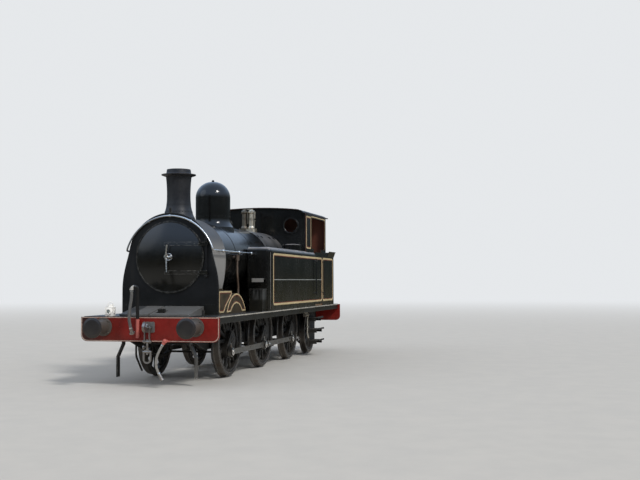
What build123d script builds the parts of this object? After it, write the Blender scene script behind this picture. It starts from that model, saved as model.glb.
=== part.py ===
from build123d import *
import math
import os

# Steam tank locomotive with three coupled axles and one trailing axle.
# Sizes are in millimetres. Z is up, the front faces -Y, and +X is the left side seen from the cab.
# "Back" distances run rearward from the front beam's face, and heights are above the rail top.

os.makedirs("parts", exist_ok=True)

# Overall sizes
OVER_BEAMS = 9830.0
BEAM_HALF = 1310.0
FLANGE_DEPTH = 28.5
FOOTPLATE_TOP = 1215.0
FOOTPLATE_HALF = 1250.0
FOOTPLATE_T = 10.0
BOILER_HEIGHT = 2290.0
BUFFER_LENGTH = 457.0


def back(t):
    """Y of a place that is t behind the front beam's face."""
    return t - OVER_BEAMS / 2


def up(h):
    """Z of a place that is h above the rail top; the flanges' lowest points are at Z = 0."""
    return h + FLANGE_DEPTH


def across(t):
    """Upright plane across the engine, normal forward: extrude by a negative amount to run rearward."""
    return Plane.XZ.offset(-back(t))


def beside(x):
    """Upright plane along the engine at x, normal +X, with local x rearward and local y up."""
    return Plane.YZ.offset(x)


def level(h):
    """Horizontal plane at height h, with local x = X and local y = Y."""
    return Plane.XY.offset(up(h))


def block(x0, x1, t0, t1, h0, h1):
    """Rectangular block between two X values, two back distances and two heights."""
    centre = ((x0 + x1) / 2, (back(t0) + back(t1)) / 2, (up(h0) + up(h1)) / 2)
    return Pos(*centre) * Box(x1 - x0, t1 - t0, h1 - h0, mode=Mode.PRIVATE)


pieces = {}

# Frames
BEAM_T = 30.0
BEAM_BOTTOM = 770.0
BEAM_CORNER = 120.0
FRAME_INSIDE = 610.0
FRAME_T = 25.0
FRAME_OUTSIDE = FRAME_INSIDE + FRAME_T
FRAME_BOTTOM = 560.0
FRAME_TOP = FOOTPLATE_TOP - FOOTPLATE_T
HORN_HALF = 125.0
HORN_CHEEK = 90.0
HORN_ABOVE_AXLE = 190.0
HORN_BELOW_AXLE = 262.0
HORN_STAY = 40.0

# Wheels: back distance of each axle
LEADING_AXLE = 2030.0
COUPLED_SPACING = 2210.0
DRIVING_AXLE = LEADING_AXLE + COUPLED_SPACING
REAR_COUPLED_AXLE = DRIVING_AXLE + COUPLED_SPACING
TRAILING_AXLE = REAR_COUPLED_AXLE + 1905.0
COUPLED_RADIUS = 692.0
TRAILING_RADIUS = 565.0
COUPLED_AXLES = (LEADING_AXLE, DRIVING_AXLE, REAR_COUPLED_AXLE)
AXLES = [(t, COUPLED_RADIUS) for t in COUPLED_AXLES] + [(TRAILING_AXLE, TRAILING_RADIUS)]

WHEEL_BACK = 680.0
TYRE_WIDTH = 140.0
TYRE_T = 65.0
WHEEL_FACE = WHEEL_BACK + TYRE_WIDTH
HUB_BACK = WHEEL_BACK - 4
HUB_FACE = WHEEL_FACE + 25
BOSS_FACE = WHEEL_FACE + 48
AXLE_RADIUS = 90.0
RUNNING_FIT = 0.05

# Main frame: two plates with horn gaps for the axleboxes, cross stretchers and a motion plate
plate_front = BEAM_T
plate_rear = OVER_BEAMS - BEAM_T
frame_outline = [(back(plate_front), up(FRAME_TOP)), (back(plate_front), up(820))]
frame_outline += [(back(500), up(760)), (back(1100), up(FRAME_BOTTOM))]
for axle, radius in AXLES:
    horn_bottom = up(radius - HORN_BELOW_AXLE)
    reach = HORN_HALF + HORN_CHEEK
    frame_outline.append((back(axle - reach - 110), up(FRAME_BOTTOM)))
    frame_outline.append((back(axle - reach), horn_bottom))
    frame_outline.append((back(axle + reach), horn_bottom))
    frame_outline.append((back(axle + reach + 110), up(FRAME_BOTTOM)))
frame_outline += [(back(9300), up(FRAME_BOTTOM)), (back(9600), up(760))]
frame_outline += [(back(plate_rear), up(820)), (back(plate_rear), up(FRAME_TOP))]

# Lightening holes: back distance, height, length, depth
FRAME_HOLES = [
    (3135, 900, 760, 250),
    (5345, 900, 760, 250),
    (7400, 900, 420, 240),
    (9180, 920, 320, 220),
]
# Stretchers: back distance, thickness, low, high
STRETCHERS = [
    (430, 25, 800, FRAME_TOP),
    (4810, 25, 640, FRAME_TOP),
    (7560, 25, 600, FRAME_TOP),
    (9250, 25, 700, FRAME_TOP),
]
CYLINDER_X = 300.0
CYLINDER_SLOPE = 0.075
MOTION_PLATE = 3300.0
MOTION_PLATE_T = 30.0
BAR_GAP = 95.0
BAR_T = 40.0
BAR_WIDTH = 80.0


def cylinder_line(t):
    """Height of the inside cylinders' sloping centre line at back distance t."""
    return COUPLED_RADIUS + CYLINDER_SLOPE * (DRIVING_AXLE - t)


with BuildPart() as main_frame:
    with BuildSketch(beside(FRAME_INSIDE)):
        with BuildLine():
            Polyline(*frame_outline, close=True)
        make_face()
        for hole_t, hole_h, length, depth in FRAME_HOLES:
            with Locations((back(hole_t), up(hole_h))):
                SlotOverall(length, depth, mode=Mode.SUBTRACT)
        for axle, radius in AXLES:
            gap_low = radius - HORN_BELOW_AXLE + HORN_STAY
            gap_height = radius + HORN_ABOVE_AXLE - gap_low
            with Locations((back(axle), up(gap_low + gap_height / 2))):
                Rectangle(2 * HORN_HALF, gap_height, mode=Mode.SUBTRACT)
    extrude(amount=FRAME_T)
    mirror(about=Plane.YZ)
    for t, thick, low, high in STRETCHERS:
        with BuildSketch(across(t)):
            with Locations((0, up((low + high) / 2))):
                Rectangle(2 * FRAME_INSIDE, high - low)
                Rectangle(FRAME_INSIDE, (high - low) * 0.4, mode=Mode.SUBTRACT)
        extrude(amount=-thick)
    with BuildSketch(across(MOTION_PLATE)):
        with Locations((0, up((600 + FRAME_TOP) / 2))):
            Rectangle(2 * FRAME_INSIDE, FRAME_TOP - 600)
        with Locations(*[(x, up(cylinder_line(MOTION_PLATE))) for x in (-CYLINDER_X, CYLINDER_X)]):
            RectangleRounded(230, 2 * BAR_GAP - 20, 40, mode=Mode.SUBTRACT)
    extrude(amount=-MOTION_PLATE_T)
pieces["main_frame"] = main_frame

# Buffer beams: flat plates with rounded lower corners
with BuildPart() as buffer_beams:
    with BuildSketch(across(0)) as beam_face:
        with Locations((0, up((BEAM_BOTTOM + FRAME_TOP) / 2))):
            Rectangle(2 * BEAM_HALF, FRAME_TOP - BEAM_BOTTOM)
        fillet(beam_face.vertices().group_by(Axis.Y)[0], BEAM_CORNER)
    extrude(amount=-BEAM_T)
    mirror(about=Plane.XZ)
pieces["buffer_beams"] = buffer_beams

# Running plate with its valances, cut open between the frames and over the coupled wheels
VALANCE_DEPTH = 120.0
VALANCE_T = 12.0
SMOKEBOX_FRONT = 975.0
CENTRE_OPENING = (SMOKEBOX_FRONT + 15, 6300.0)
WHEEL_OPENING_X = (WHEEL_BACK - 30, WHEEL_FACE + 30)
WHEEL_OPENING_HALF = 540.0

with BuildPart() as footplate:
    with BuildSketch(level(FRAME_TOP)):
        Rectangle(2 * FOOTPLATE_HALF, OVER_BEAMS)
        opening_length = CENTRE_OPENING[1] - CENTRE_OPENING[0]
        with Locations((0, back(sum(CENTRE_OPENING) / 2))):
            Rectangle(2 * FRAME_INSIDE, opening_length, mode=Mode.SUBTRACT)
        for axle in COUPLED_AXLES:
            for side in (-1, 1):
                with Locations((side * sum(WHEEL_OPENING_X) / 2, back(axle))):
                    width = WHEEL_OPENING_X[1] - WHEEL_OPENING_X[0]
                    Rectangle(width, 2 * WHEEL_OPENING_HALF, mode=Mode.SUBTRACT)
    extrude(amount=FOOTPLATE_T)
    with BuildSketch(level(FRAME_TOP - VALANCE_DEPTH)):
        for side in (-1, 1):
            with Locations((side * (FOOTPLATE_HALF - VALANCE_T / 2), 0)):
                Rectangle(VALANCE_T, OVER_BEAMS - 2 * BEAM_T)
    extrude(amount=VALANCE_DEPTH)
pieces["footplate"] = footplate

# Buffers: a flanged, tapered housing, a ram and a round head
BUFFER_X = 870.0
BUFFER_HEIGHT = 1030.0
BUFFER_HEAD_RADIUS = 180.0
BUFFER_HEAD_T = 28.0
# Half outline of a buffer: distance out from the beam, radius
BUFFER_PROFILE = [
    (0, 165),
    (24, 165),
    (34, 128),
    (250, 104),
    (282, 104),
    (282, 64),
    (BUFFER_LENGTH - BUFFER_HEAD_T - 34, 64),
    (BUFFER_LENGTH - BUFFER_HEAD_T - 8, BUFFER_HEAD_RADIUS - 18),
    (BUFFER_LENGTH - BUFFER_HEAD_T, BUFFER_HEAD_RADIUS),
    (BUFFER_LENGTH - 14, BUFFER_HEAD_RADIUS),
    (BUFFER_LENGTH, BUFFER_HEAD_RADIUS - 40),
]
with BuildPart() as buffers:
    with BuildSketch(Plane.XY.offset(up(BUFFER_HEIGHT))):
        with BuildLine():
            profile = [(BUFFER_X + r, back(-out)) for out, r in BUFFER_PROFILE]
            Polyline((BUFFER_X, back(0)), *profile, (BUFFER_X, back(-BUFFER_LENGTH)), close=True)
        make_face()
    revolve(axis=Axis((BUFFER_X, 0, up(BUFFER_HEIGHT)), (0, 1, 0)))
    mirror(about=Plane.YZ)
    mirror(about=Plane.XZ)
pieces["buffers"] = buffers

# Draw hook and hanging screw coupling at each end
HOOK_HEIGHT = 1030.0
HOOK_T = 46.0
HOOK_PIN = (-70.0, HOOK_HEIGHT - 12)
COUPLING_ARM_X = 38.0
with BuildPart() as hook:
    with BuildSketch(beside(-HOOK_T / 2)):
        with Locations((back(-80), up(HOOK_HEIGHT - 12))):
            Rectangle(160, 84)
        with Locations((back(-172), up(HOOK_HEIGHT + 4))):
            Circle(84)
        with Locations((back(-160), up(HOOK_HEIGHT + 34))):
            Circle(36, mode=Mode.SUBTRACT)
        with Locations((back(-133), up(HOOK_HEIGHT + 76))):
            Rectangle(54, 84, rotation=-25, mode=Mode.SUBTRACT)
        with Locations((back(HOOK_PIN[0]), up(HOOK_PIN[1]))):
            Circle(18, mode=Mode.SUBTRACT)
    extrude(amount=HOOK_T)
    with BuildSketch(across(0)):
        with Locations((0, up(HOOK_HEIGHT))):
            RectangleRounded(230, 190, 28)
    extrude(amount=14)

with BuildPart() as screw_coupling:
    with BuildSketch(beside(-64)):
        with Locations((back(HOOK_PIN[0]), up(HOOK_PIN[1]))):
            Circle(16)
    extrude(amount=128)
    for side in (-1, 1):
        with BuildSketch(beside(side * (COUPLING_ARM_X + 8) - 8)):
            with Locations((back(HOOK_PIN[0]), up(HOOK_PIN[1] - 120))):
                SlotOverall(300, 52, rotation=90)
        extrude(amount=16)
    for trunnion in (HOOK_PIN[1] - 240, HOOK_PIN[1] - 420):
        with BuildSketch(beside(-78)):
            with Locations((back(HOOK_PIN[0]), up(trunnion))):
                Circle(24)
        extrude(amount=156)
    with BuildSketch(level(HOOK_PIN[1] - 470)):
        with Locations((0, back(HOOK_PIN[0]))):
            Circle(19)
    extrude(amount=270)
    with BuildSketch(across(HOOK_PIN[0] - 14)):
        with Locations((0, up(HOOK_PIN[1] - 500))):
            SlotOverall(250, 156, rotation=90)
            SlotOverall(194, 100, rotation=90, mode=Mode.SUBTRACT)
    extrude(amount=-28)
    with BuildSketch(beside(-9)):
        with Locations((back(HOOK_PIN[0] - 70), up(HOOK_PIN[1] - 330))):
            Rectangle(150, 22)
        with Locations((back(HOOK_PIN[0] - 150), up(HOOK_PIN[1] - 330))):
            Circle(34)
    extrude(amount=18)
with BuildPart() as drawgear:
    add(hook.part)
    add(screw_coupling.part)
    mirror(about=Plane.XZ)
pieces["drawgear"] = drawgear

# Wheels. A centre is made with its axle along Z, its outer face up and its crank along +X
RIM_DEPTH = 52.0
RIM_BACK = WHEEL_BACK + 14
RIM_FACE = WHEEL_FACE - 12
SPOKE_MID = (RIM_BACK + RIM_FACE) / 2
SPOKE_T = 52.0
CRANK_THROW = 330.0
PIN_RADIUS = 55.0
PIN_COLLAR_RADIUS = 78.0
ROD_BACK = BOSS_FACE + 17
ROD_T = 60.0
ROD_FACE = ROD_BACK + ROD_T
PIN_END = ROD_FACE + 22


def wheel_centre(tread_radius, hub_radius, spokes, weight_depth):
    """Spoked wheel centre. A weight depth over 0 adds a crank boss, a pin and a crescent weight."""
    rim_outside = tread_radius - TYRE_T
    rim_inside = rim_outside - RIM_DEPTH
    with BuildPart() as spoke:
        with BuildSketch(Plane.XY.offset(SPOKE_MID - SPOKE_T / 2)):
            with BuildLine():
                root = hub_radius - 25
                tip = rim_inside + 20
                Polyline((root, -42), (tip, -27), (tip, 27), (root, 42), close=True)
            make_face()
        extrude(amount=SPOKE_T)
        chamfer(spoke.edges().filter_by(GeomType.LINE).filter_by(Plane.XY).sort_by(Axis.X)[1:-1], 14)
    with BuildPart() as centre:
        with BuildSketch(Plane.XY.offset(RIM_BACK)):
            Circle(rim_outside)
            Circle(rim_inside, mode=Mode.SUBTRACT)
        extrude(amount=RIM_FACE - RIM_BACK)
        with BuildSketch(Plane.XY.offset(HUB_BACK)):
            Circle(hub_radius)
        extrude(amount=HUB_FACE - HUB_BACK)
        with PolarLocations(0, spokes, start_angle=180 / spokes):
            add(spoke.part)
        if weight_depth > 0:
            with BuildSketch(Plane.XY.offset(SPOKE_MID)):
                Circle(hub_radius - 20)
                with Locations((CRANK_THROW, 0)):
                    Circle(118)
                make_hull()
            extrude(amount=BOSS_FACE - SPOKE_MID)
            with BuildSketch(Plane.XY.offset(SPOKE_MID - 38)):
                Circle(rim_inside + 6)
                cutter = rim_inside + 50
                with Locations((cutter - rim_inside + weight_depth, 0)):
                    Circle(cutter, mode=Mode.SUBTRACT)
            extrude(amount=76)
            with BuildSketch(Plane.XY.offset(BOSS_FACE)):
                with Locations((CRANK_THROW, 0)):
                    Circle(PIN_RADIUS)
            extrude(amount=PIN_END - BOSS_FACE)
            with BuildSketch(Plane.XY.offset(ROD_FACE + 5)):
                with Locations((CRANK_THROW, 0)):
                    Circle(PIN_COLLAR_RADIUS)
            extrude(amount=PIN_END - ROD_FACE - 5)
            chamfer(centre.faces().sort_by(Axis.Z)[-1].edges(), 5)
    return centre.part


def tyre(tread_radius):
    """Steel tyre with a flange at its back and a coned tread, axle along Z."""
    inside = tread_radius - TYRE_T
    flange = tread_radius + FLANGE_DEPTH
    with BuildPart() as ring:
        with BuildSketch(Plane.XZ):
            with BuildLine():
                Polyline((inside, WHEEL_FACE), (inside, WHEEL_BACK), (tread_radius + 8, WHEEL_BACK))
                ThreePointArc(
                    (tread_radius + 8, WHEEL_BACK),
                    (flange, WHEEL_BACK + 14),
                    (tread_radius + 12, WHEEL_BACK + 27),
                )
                Polyline(
                    (tread_radius + 12, WHEEL_BACK + 27),
                    (tread_radius + 2, WHEEL_BACK + 38),
                    (tread_radius - 2, WHEEL_FACE - 10),
                    (tread_radius - 10, WHEEL_FACE),
                    (inside, WHEEL_FACE),
                )
            make_face()
        revolve(axis=Axis.Z)
    return ring.part


def left_place(axle, radius, turn):
    """Location on the +X side whose local Z runs outward, turned about the axle."""
    plane = Plane(origin=(0, back(axle), up(radius)), x_dir=(0, 1, 0), z_dir=(1, 0, 0))
    return plane.location * Location((0, 0, 0), (0, 0, turn))


def right_place(axle, radius, turn):
    """The same on the -X side, where the local turn runs the other way."""
    plane = Plane(origin=(0, back(axle), up(radius)), x_dir=(0, 1, 0), z_dir=(-1, 0, 0))
    return plane.location * Location((0, 0, 0), (0, 0, -turn))


# Crank directions from +Y towards +Z, in degrees; the two sides are a quarter turn apart
LEFT_CRANK = 220.0
RIGHT_CRANK = 310.0
WEB_HALF = 100.0
WEB_T = 100.0
JOURNAL_HALF = 55.0

coupled_centre = wheel_centre(COUPLED_RADIUS, 185, 14, 130)
driving_centre = wheel_centre(COUPLED_RADIUS, 185, 14, 210)
trailing_centre = wheel_centre(TRAILING_RADIUS, 150, 10, 0)
coupled_tyre = tyre(COUPLED_RADIUS)
trailing_tyre = tyre(TRAILING_RADIUS)

# Wheelsets: name, axle, radius, centre, tyre
WHEELSETS = [
    ("leading", LEADING_AXLE, COUPLED_RADIUS, coupled_centre, coupled_tyre),
    ("driving", DRIVING_AXLE, COUPLED_RADIUS, driving_centre, coupled_tyre),
    ("rear_coupled", REAR_COUPLED_AXLE, COUPLED_RADIUS, coupled_centre, coupled_tyre),
    ("trailing", TRAILING_AXLE, TRAILING_RADIUS, trailing_centre, trailing_tyre),
]
for name, axle, radius, centre_part, tyre_part in WHEELSETS:
    left = left_place(axle, radius, LEFT_CRANK)
    right = right_place(axle, radius, RIGHT_CRANK)
    axle_plane = Plane(origin=(0, back(axle), up(radius)), x_dir=(0, 1, 0), z_dir=(1, 0, 0))
    with BuildPart() as wheelset:
        with Locations(left, right):
            add(centre_part)
        if name == "driving":
            for side, crank in ((1, LEFT_CRANK), (-1, RIGHT_CRANK)):
                inner = min(side * (CYLINDER_X - JOURNAL_HALF), side * (CYLINDER_X - JOURNAL_HALF - WEB_T))
                outer = min(side * (CYLINDER_X + JOURNAL_HALF), side * (CYLINDER_X + JOURNAL_HALF + WEB_T))
                opposite = math.radians(crank + 180)
                pin = (CRANK_THROW * math.cos(opposite), CRANK_THROW * math.sin(opposite))
                for web_start in (inner, outer):
                    with BuildSketch(axle_plane.offset(web_start)):
                        Circle(AXLE_RADIUS + 40)
                        with Locations(pin):
                            Circle(AXLE_RADIUS + 40)
                        make_hull()
                    extrude(amount=WEB_T)
                with BuildSketch(axle_plane.offset(side * CYLINDER_X - JOURNAL_HALF)):
                    with Locations(pin):
                        Circle(AXLE_RADIUS + 5)
                extrude(amount=2 * JOURNAL_HALF)
                stub = min(side * (CYLINDER_X + JOURNAL_HALF), side * (HUB_FACE + 6))
                with BuildSketch(axle_plane.offset(stub)):
                    Circle(AXLE_RADIUS)
                extrude(amount=HUB_FACE + 6 - CYLINDER_X - JOURNAL_HALF)
            with BuildSketch(axle_plane.offset(-(CYLINDER_X - JOURNAL_HALF))):
                Circle(AXLE_RADIUS)
            extrude(amount=2 * (CYLINDER_X - JOURNAL_HALF))
            # Eccentric sheaves: X, direction in degrees
            for sheave_x, direction in ((-112, 20), (-56, 140), (0, 260), (56, 320)):
                lean = math.radians(direction)
                with BuildSketch(axle_plane.offset(sheave_x)):
                    with Locations((70 * math.cos(lean), 70 * math.sin(lean))):
                        Circle(195)
                extrude(amount=48)
        else:
            with BuildSketch(axle_plane.offset(-(HUB_FACE + 6))):
                Circle(AXLE_RADIUS)
            extrude(amount=2 * (HUB_FACE + 6))
    pieces[f"{name}_wheelset"] = wheelset
    with BuildPart() as tyres:
        with Locations(left, right):
            add(tyre_part)
    pieces[f"{name}_tyres"] = tyres

# Coupling rods: three bored bosses, fluted bars, oil cups and the knuckle behind the middle pin
ROD_BOSS_RADIUS = 100.0
ROD_DEPTH = 104.0
ROD_BAR_T = 42.0
PIN_FIT = 0.08
KNUCKLE_BACK = 235.0


def coupling_rod(place, crank):
    """Rod in the plane of place, where local x is rearward, local y is up or down and z is outward."""
    throw = (CRANK_THROW * math.cos(math.radians(crank)), CRANK_THROW * math.sin(math.radians(crank)))
    pins = [(throw[0] + reach, throw[1]) for reach in (-COUPLED_SPACING, 0, COUPLED_SPACING)]
    bar_back = ROD_BACK + (ROD_T - ROD_BAR_T) / 2
    above = 1 if place.y_dir.Z > 0 else -1
    with BuildPart() as rod:
        with BuildSketch(place.offset(ROD_BACK)):
            with Locations(*pins):
                Circle(ROD_BOSS_RADIUS)
            with Locations((pins[1][0] + KNUCKLE_BACK, pins[1][1])):
                Circle(74)
        extrude(amount=ROD_T)
        with BuildSketch(place.offset(bar_back)):
            for start, end in zip(pins, pins[1:]):
                with Locations(((start[0] + end[0]) / 2, start[1])):
                    Rectangle(COUPLED_SPACING, ROD_DEPTH)
        extrude(amount=ROD_BAR_T)
        # Flutes along both faces of the bars
        for flute_start in (bar_back, bar_back + ROD_BAR_T - 10):
            with BuildSketch(place.offset(flute_start)):
                with Locations((pins[0][0] + COUPLED_SPACING / 2, pins[0][1])):
                    SlotOverall(COUPLED_SPACING - 420, ROD_DEPTH - 40)
                with Locations((pins[1][0] + COUPLED_SPACING / 2 + 100, pins[0][1])):
                    SlotOverall(COUPLED_SPACING - 620, ROD_DEPTH - 40)
            extrude(amount=10, mode=Mode.SUBTRACT)
        with BuildSketch(place.offset(ROD_FACE)):
            with Locations((pins[1][0] + KNUCKLE_BACK, pins[1][1])):
                Circle(34)
        extrude(amount=14)
        # Oil cups stand on the bosses
        for pin in pins:
            cup_low = up(COUPLED_RADIUS) + above * pin[1] + ROD_BOSS_RADIUS - 12
            cup_place = Plane(origin=(place.z_dir.X * (ROD_BACK + ROD_T / 2), back(DRIVING_AXLE) + pin[0], cup_low))
            with BuildSketch(cup_place):
                Circle(24)
            extrude(amount=46)
            with BuildSketch(cup_place.offset(46)):
                Circle(13)
            extrude(amount=14)
        with BuildSketch(place.offset(ROD_BACK)):
            with Locations(*pins):
                Circle(PIN_RADIUS + PIN_FIT)
        extrude(amount=ROD_T, mode=Mode.SUBTRACT)
    return rod


driving_origin = (0, back(DRIVING_AXLE), up(COUPLED_RADIUS))
left_rod_plane = Plane(origin=driving_origin, x_dir=(0, 1, 0), z_dir=(1, 0, 0))
right_rod_plane = Plane(origin=driving_origin, x_dir=(0, 1, 0), z_dir=(-1, 0, 0))
pieces["left_coupling_rod"] = coupling_rod(left_rod_plane, LEFT_CRANK)
pieces["right_coupling_rod"] = coupling_rod(right_rod_plane, -RIGHT_CRANK)

# Axleboxes slide in the horn gaps and carry the journals
BOX_INSIDE = 540.0
BOX_OUTSIDE = 664.0
BOX_HALF_HEIGHT = 160.0
with BuildPart() as axleboxes:
    for axle, radius in AXLES:
        with BuildSketch(beside(BOX_INSIDE)):
            with Locations((back(axle), up(radius))):
                RectangleRounded(2 * HORN_HALF, 2 * BOX_HALF_HEIGHT, 20)
                Circle(AXLE_RADIUS + RUNNING_FIT, mode=Mode.SUBTRACT)
        extrude(amount=BOX_OUTSIDE - BOX_INSIDE)
    mirror(about=Plane.YZ)
pieces["axleboxes"] = axleboxes

# Laminated springs hang under the boxes on stirrups
SPRING_X = 582.0
SPRING_WIDTH = 80.0
LEAF_T = 13.0
LEAVES = 5
SPRING_HALF = 440.0
SPRING_CAMBER = 52.0
STIRRUP_DROP = 130.0
with BuildPart() as axle_springs:
    for axle, radius in AXLES:
        box_bottom = radius - BOX_HALF_HEIGHT
        seat = box_bottom - STIRRUP_DROP
        with BuildSketch(beside(SPRING_X)):
            for leaf in range(LEAVES):
                half = SPRING_HALF * (1 - leaf / (LEAVES + 0.5))
                rise = SPRING_CAMBER * (half / SPRING_HALF) ** 2
                top = up(seat - leaf * LEAF_T)
                with BuildLine():
                    arc = ThreePointArc(
                        (back(axle) - half, top + rise), (back(axle), top), (back(axle) + half, top + rise)
                    )
                    Line(arc @ 1, (back(axle) + half, top + rise - LEAF_T))
                    ThreePointArc(
                        (back(axle) + half, top + rise - LEAF_T),
                        (back(axle), top - LEAF_T),
                        (back(axle) - half, top + rise - LEAF_T),
                    )
                    Line((back(axle) - half, top + rise - LEAF_T), arc @ 0)
                make_face()
        extrude(amount=SPRING_WIDTH)
        # Buckle round the leaves, then the stirrup's two straps and the end hangers
        with BuildSketch(beside(SPRING_X - 6)):
            with Locations((back(axle), up(seat - LEAVES * LEAF_T / 2 + 4))):
                Rectangle(96, LEAVES * LEAF_T + 30)
        extrude(amount=SPRING_WIDTH + 12)
        for strap_x in (SPRING_X + 2, SPRING_X + SPRING_WIDTH - 20):
            with BuildSketch(beside(strap_x)):
                with Locations((back(axle), up((seat + box_bottom) / 2))):
                    Rectangle(70, STIRRUP_DROP)
            extrude(amount=18)
        for end in (-1, 1):
            hanger_low = seat + SPRING_CAMBER - LEAF_T / 2
            with BuildSketch(level(hanger_low)):
                with Locations(((FRAME_INSIDE + FRAME_OUTSIDE) / 2, back(axle) + end * (SPRING_HALF - 18))):
                    Rectangle(22, 30)
            extrude(amount=FRAME_BOTTOM - hanger_low)
    mirror(about=Plane.YZ)
pieces["axle_springs"] = axle_springs

# Brake gear: a pin on the frame, a hanger, a block behind each coupled wheel, cross beams and pull rods
BLOCK_CLEARANCE = 8.0
BLOCK_T = 62.0
BLOCK_X = (WHEEL_BACK + 41, WHEEL_FACE - 14)
HANGER_BACK = COUPLED_RADIUS + 96
HANGER_PIN_HEIGHT = 1120.0
BRAKE_BEAM_HEIGHT = 395.0
PULL_ROD_X = 520.0
with BuildPart() as brake_gear:
    for axle in COUPLED_AXLES:
        hanger = axle + HANGER_BACK
        with BuildSketch(beside(BLOCK_X[0])):
            with Locations((back(axle), up(COUPLED_RADIUS))):
                Circle(COUPLED_RADIUS + BLOCK_CLEARANCE + BLOCK_T)
                Circle(COUPLED_RADIUS + BLOCK_CLEARANCE, mode=Mode.SUBTRACT)
            with Locations((back(hanger), up(COUPLED_RADIUS))):
                Rectangle(500, 460, mode=Mode.INTERSECT)
        extrude(amount=BLOCK_X[1] - BLOCK_X[0])
        with BuildSketch(beside(BLOCK_X[0] + 18)):
            middle = (HANGER_PIN_HEIGHT + BRAKE_BEAM_HEIGHT) / 2
            with Locations((back(hanger), up(middle))):
                SlotOverall(HANGER_PIN_HEIGHT - BRAKE_BEAM_HEIGHT + 90, 72, rotation=90)
        extrude(amount=30)
        with BuildSketch(beside(FRAME_OUTSIDE)):
            with Locations((back(hanger), up(HANGER_PIN_HEIGHT))):
                Circle(24)
        extrude(amount=BLOCK_X[1] - FRAME_OUTSIDE)
        with BuildSketch(beside(0)):
            with Locations((back(hanger), up(BRAKE_BEAM_HEIGHT))):
                RectangleRounded(56, 40, 8)
        extrude(amount=BLOCK_X[1] + 12)
    with BuildSketch(across(LEADING_AXLE + HANGER_BACK)):
        with Locations((PULL_ROD_X, up(BRAKE_BEAM_HEIGHT))):
            Circle(15)
    extrude(amount=-(REAR_COUPLED_AXLE - LEADING_AXLE))
    mirror(about=Plane.YZ)
pieces["brake_gear"] = brake_gear

# Guard irons bend out from the frames to the rails; sand pipes end ahead of the leading wheels
with BuildPart() as guard_irons:
    with BuildSketch(across(300)):
        with BuildLine():
            Polyline(
                (FRAME_OUTSIDE, up(1000)),
                (FRAME_OUTSIDE, up(700)),
                (740, up(470)),
                (740, up(110)),
                (764, up(110)),
                (764, up(482)),
                (FRAME_OUTSIDE + 24, up(712)),
                (FRAME_OUTSIDE + 24, up(1000)),
                close=True,
            )
        make_face()
    extrude(amount=-110)
    mirror(about=Plane.YZ)
pieces["guard_irons"] = guard_irons

SAND_PIPE_RADIUS = 19.0
with BuildPart() as sand_pipes:
    with BuildLine():
        FilletPolyline(
            (760, back(1150), up(FRAME_TOP)),
            (760, back(1150), up(420)),
            (760, back(1420), up(130)),
            radius=160,
        )
    with BuildSketch(Plane(origin=(760, back(1150), up(FRAME_TOP)), z_dir=(0, 0, -1))):
        Circle(SAND_PIPE_RADIUS)
    sweep()
    mirror(about=Plane.YZ)
pieces["sand_pipes"] = sand_pipes

# Inside cylinders: one sloping block under the smokebox, with round covers at its front
CYLINDER_BLOCK = (1020.0, 1860.0)
GLAND_T = 42.0
with BuildPart() as cylinder_block:
    with BuildSketch(beside(-(FRAME_INSIDE - 2))):
        with BuildLine():
            Polyline(
                (back(CYLINDER_BLOCK[0]), up(FOOTPLATE_TOP)),
                (back(CYLINDER_BLOCK[1]), up(FOOTPLATE_TOP)),
                (back(CYLINDER_BLOCK[1]), up(cylinder_line(CYLINDER_BLOCK[1]) - 275)),
                (back(CYLINDER_BLOCK[0]), up(cylinder_line(CYLINDER_BLOCK[0]) - 275)),
                close=True,
            )
        make_face()
    extrude(amount=2 * (FRAME_INSIDE - 2))
    for side in (-1, 1):
        for cover_radius, out in ((252, 34), (90, 70)):
            with BuildSketch(across(CYLINDER_BLOCK[0])):
                with Locations((side * CYLINDER_X, up(cylinder_line(CYLINDER_BLOCK[0])))):
                    Circle(cover_radius)
            extrude(amount=out)
        with BuildSketch(across(CYLINDER_BLOCK[1])):
            with Locations((side * CYLINDER_X, up(cylinder_line(CYLINDER_BLOCK[1])))):
                Circle(60)
        extrude(amount=-GLAND_T)
pieces["cylinder_block"] = cylinder_block

# Slide bars end on the motion plate; each crosshead stands mid-stroke on its piston rod
CROSSHEAD = 2650.0
PISTON_ROD_START = CYLINDER_BLOCK[1] + GLAND_T + 4
LOWER_BAR_START = 2230.0


def sloped(t0, t1, low, high):
    """Outline between two back distances and two offsets from the cylinders' centre line."""
    start, end = up(cylinder_line(t0)), up(cylinder_line(t1))
    return [(back(t0), start + low), (back(t1), end + low), (back(t1), end + high), (back(t0), start + high)]


with BuildPart() as inside_motion:
    for side in (-1, 1):
        bars_x = side * CYLINDER_X - BAR_WIDTH / 2
        for outline in (
            sloped(CYLINDER_BLOCK[1], MOTION_PLATE, BAR_GAP, BAR_GAP + BAR_T),
            sloped(LOWER_BAR_START, MOTION_PLATE, -BAR_GAP - BAR_T, -BAR_GAP),
        ):
            with BuildSketch(beside(bars_x)):
                with BuildLine():
                    Polyline(*outline, close=True)
                make_face()
            extrude(amount=BAR_WIDTH)
        with BuildSketch(beside(side * CYLINDER_X - 60)):
            with BuildLine():
                Polyline(*sloped(CROSSHEAD - 160, CROSSHEAD + 160, -BAR_GAP + 1, BAR_GAP - 1), close=True)
            make_face()
            with Locations((back(CROSSHEAD + 60), up(cylinder_line(CROSSHEAD + 60)))):
                Circle(42, mode=Mode.SUBTRACT)
        extrude(amount=120)
        rod_start = Vector(side * CYLINDER_X, back(PISTON_ROD_START), up(cylinder_line(PISTON_ROD_START)))
        rod_end = Vector(side * CYLINDER_X, back(CROSSHEAD - 150), up(cylinder_line(CROSSHEAD - 150)))
        with BuildSketch(Plane(origin=rod_start, z_dir=rod_end - rod_start)):
            Circle(34)
        extrude(amount=(rod_end - rod_start).length)
pieces["inside_motion"] = inside_motion

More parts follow.
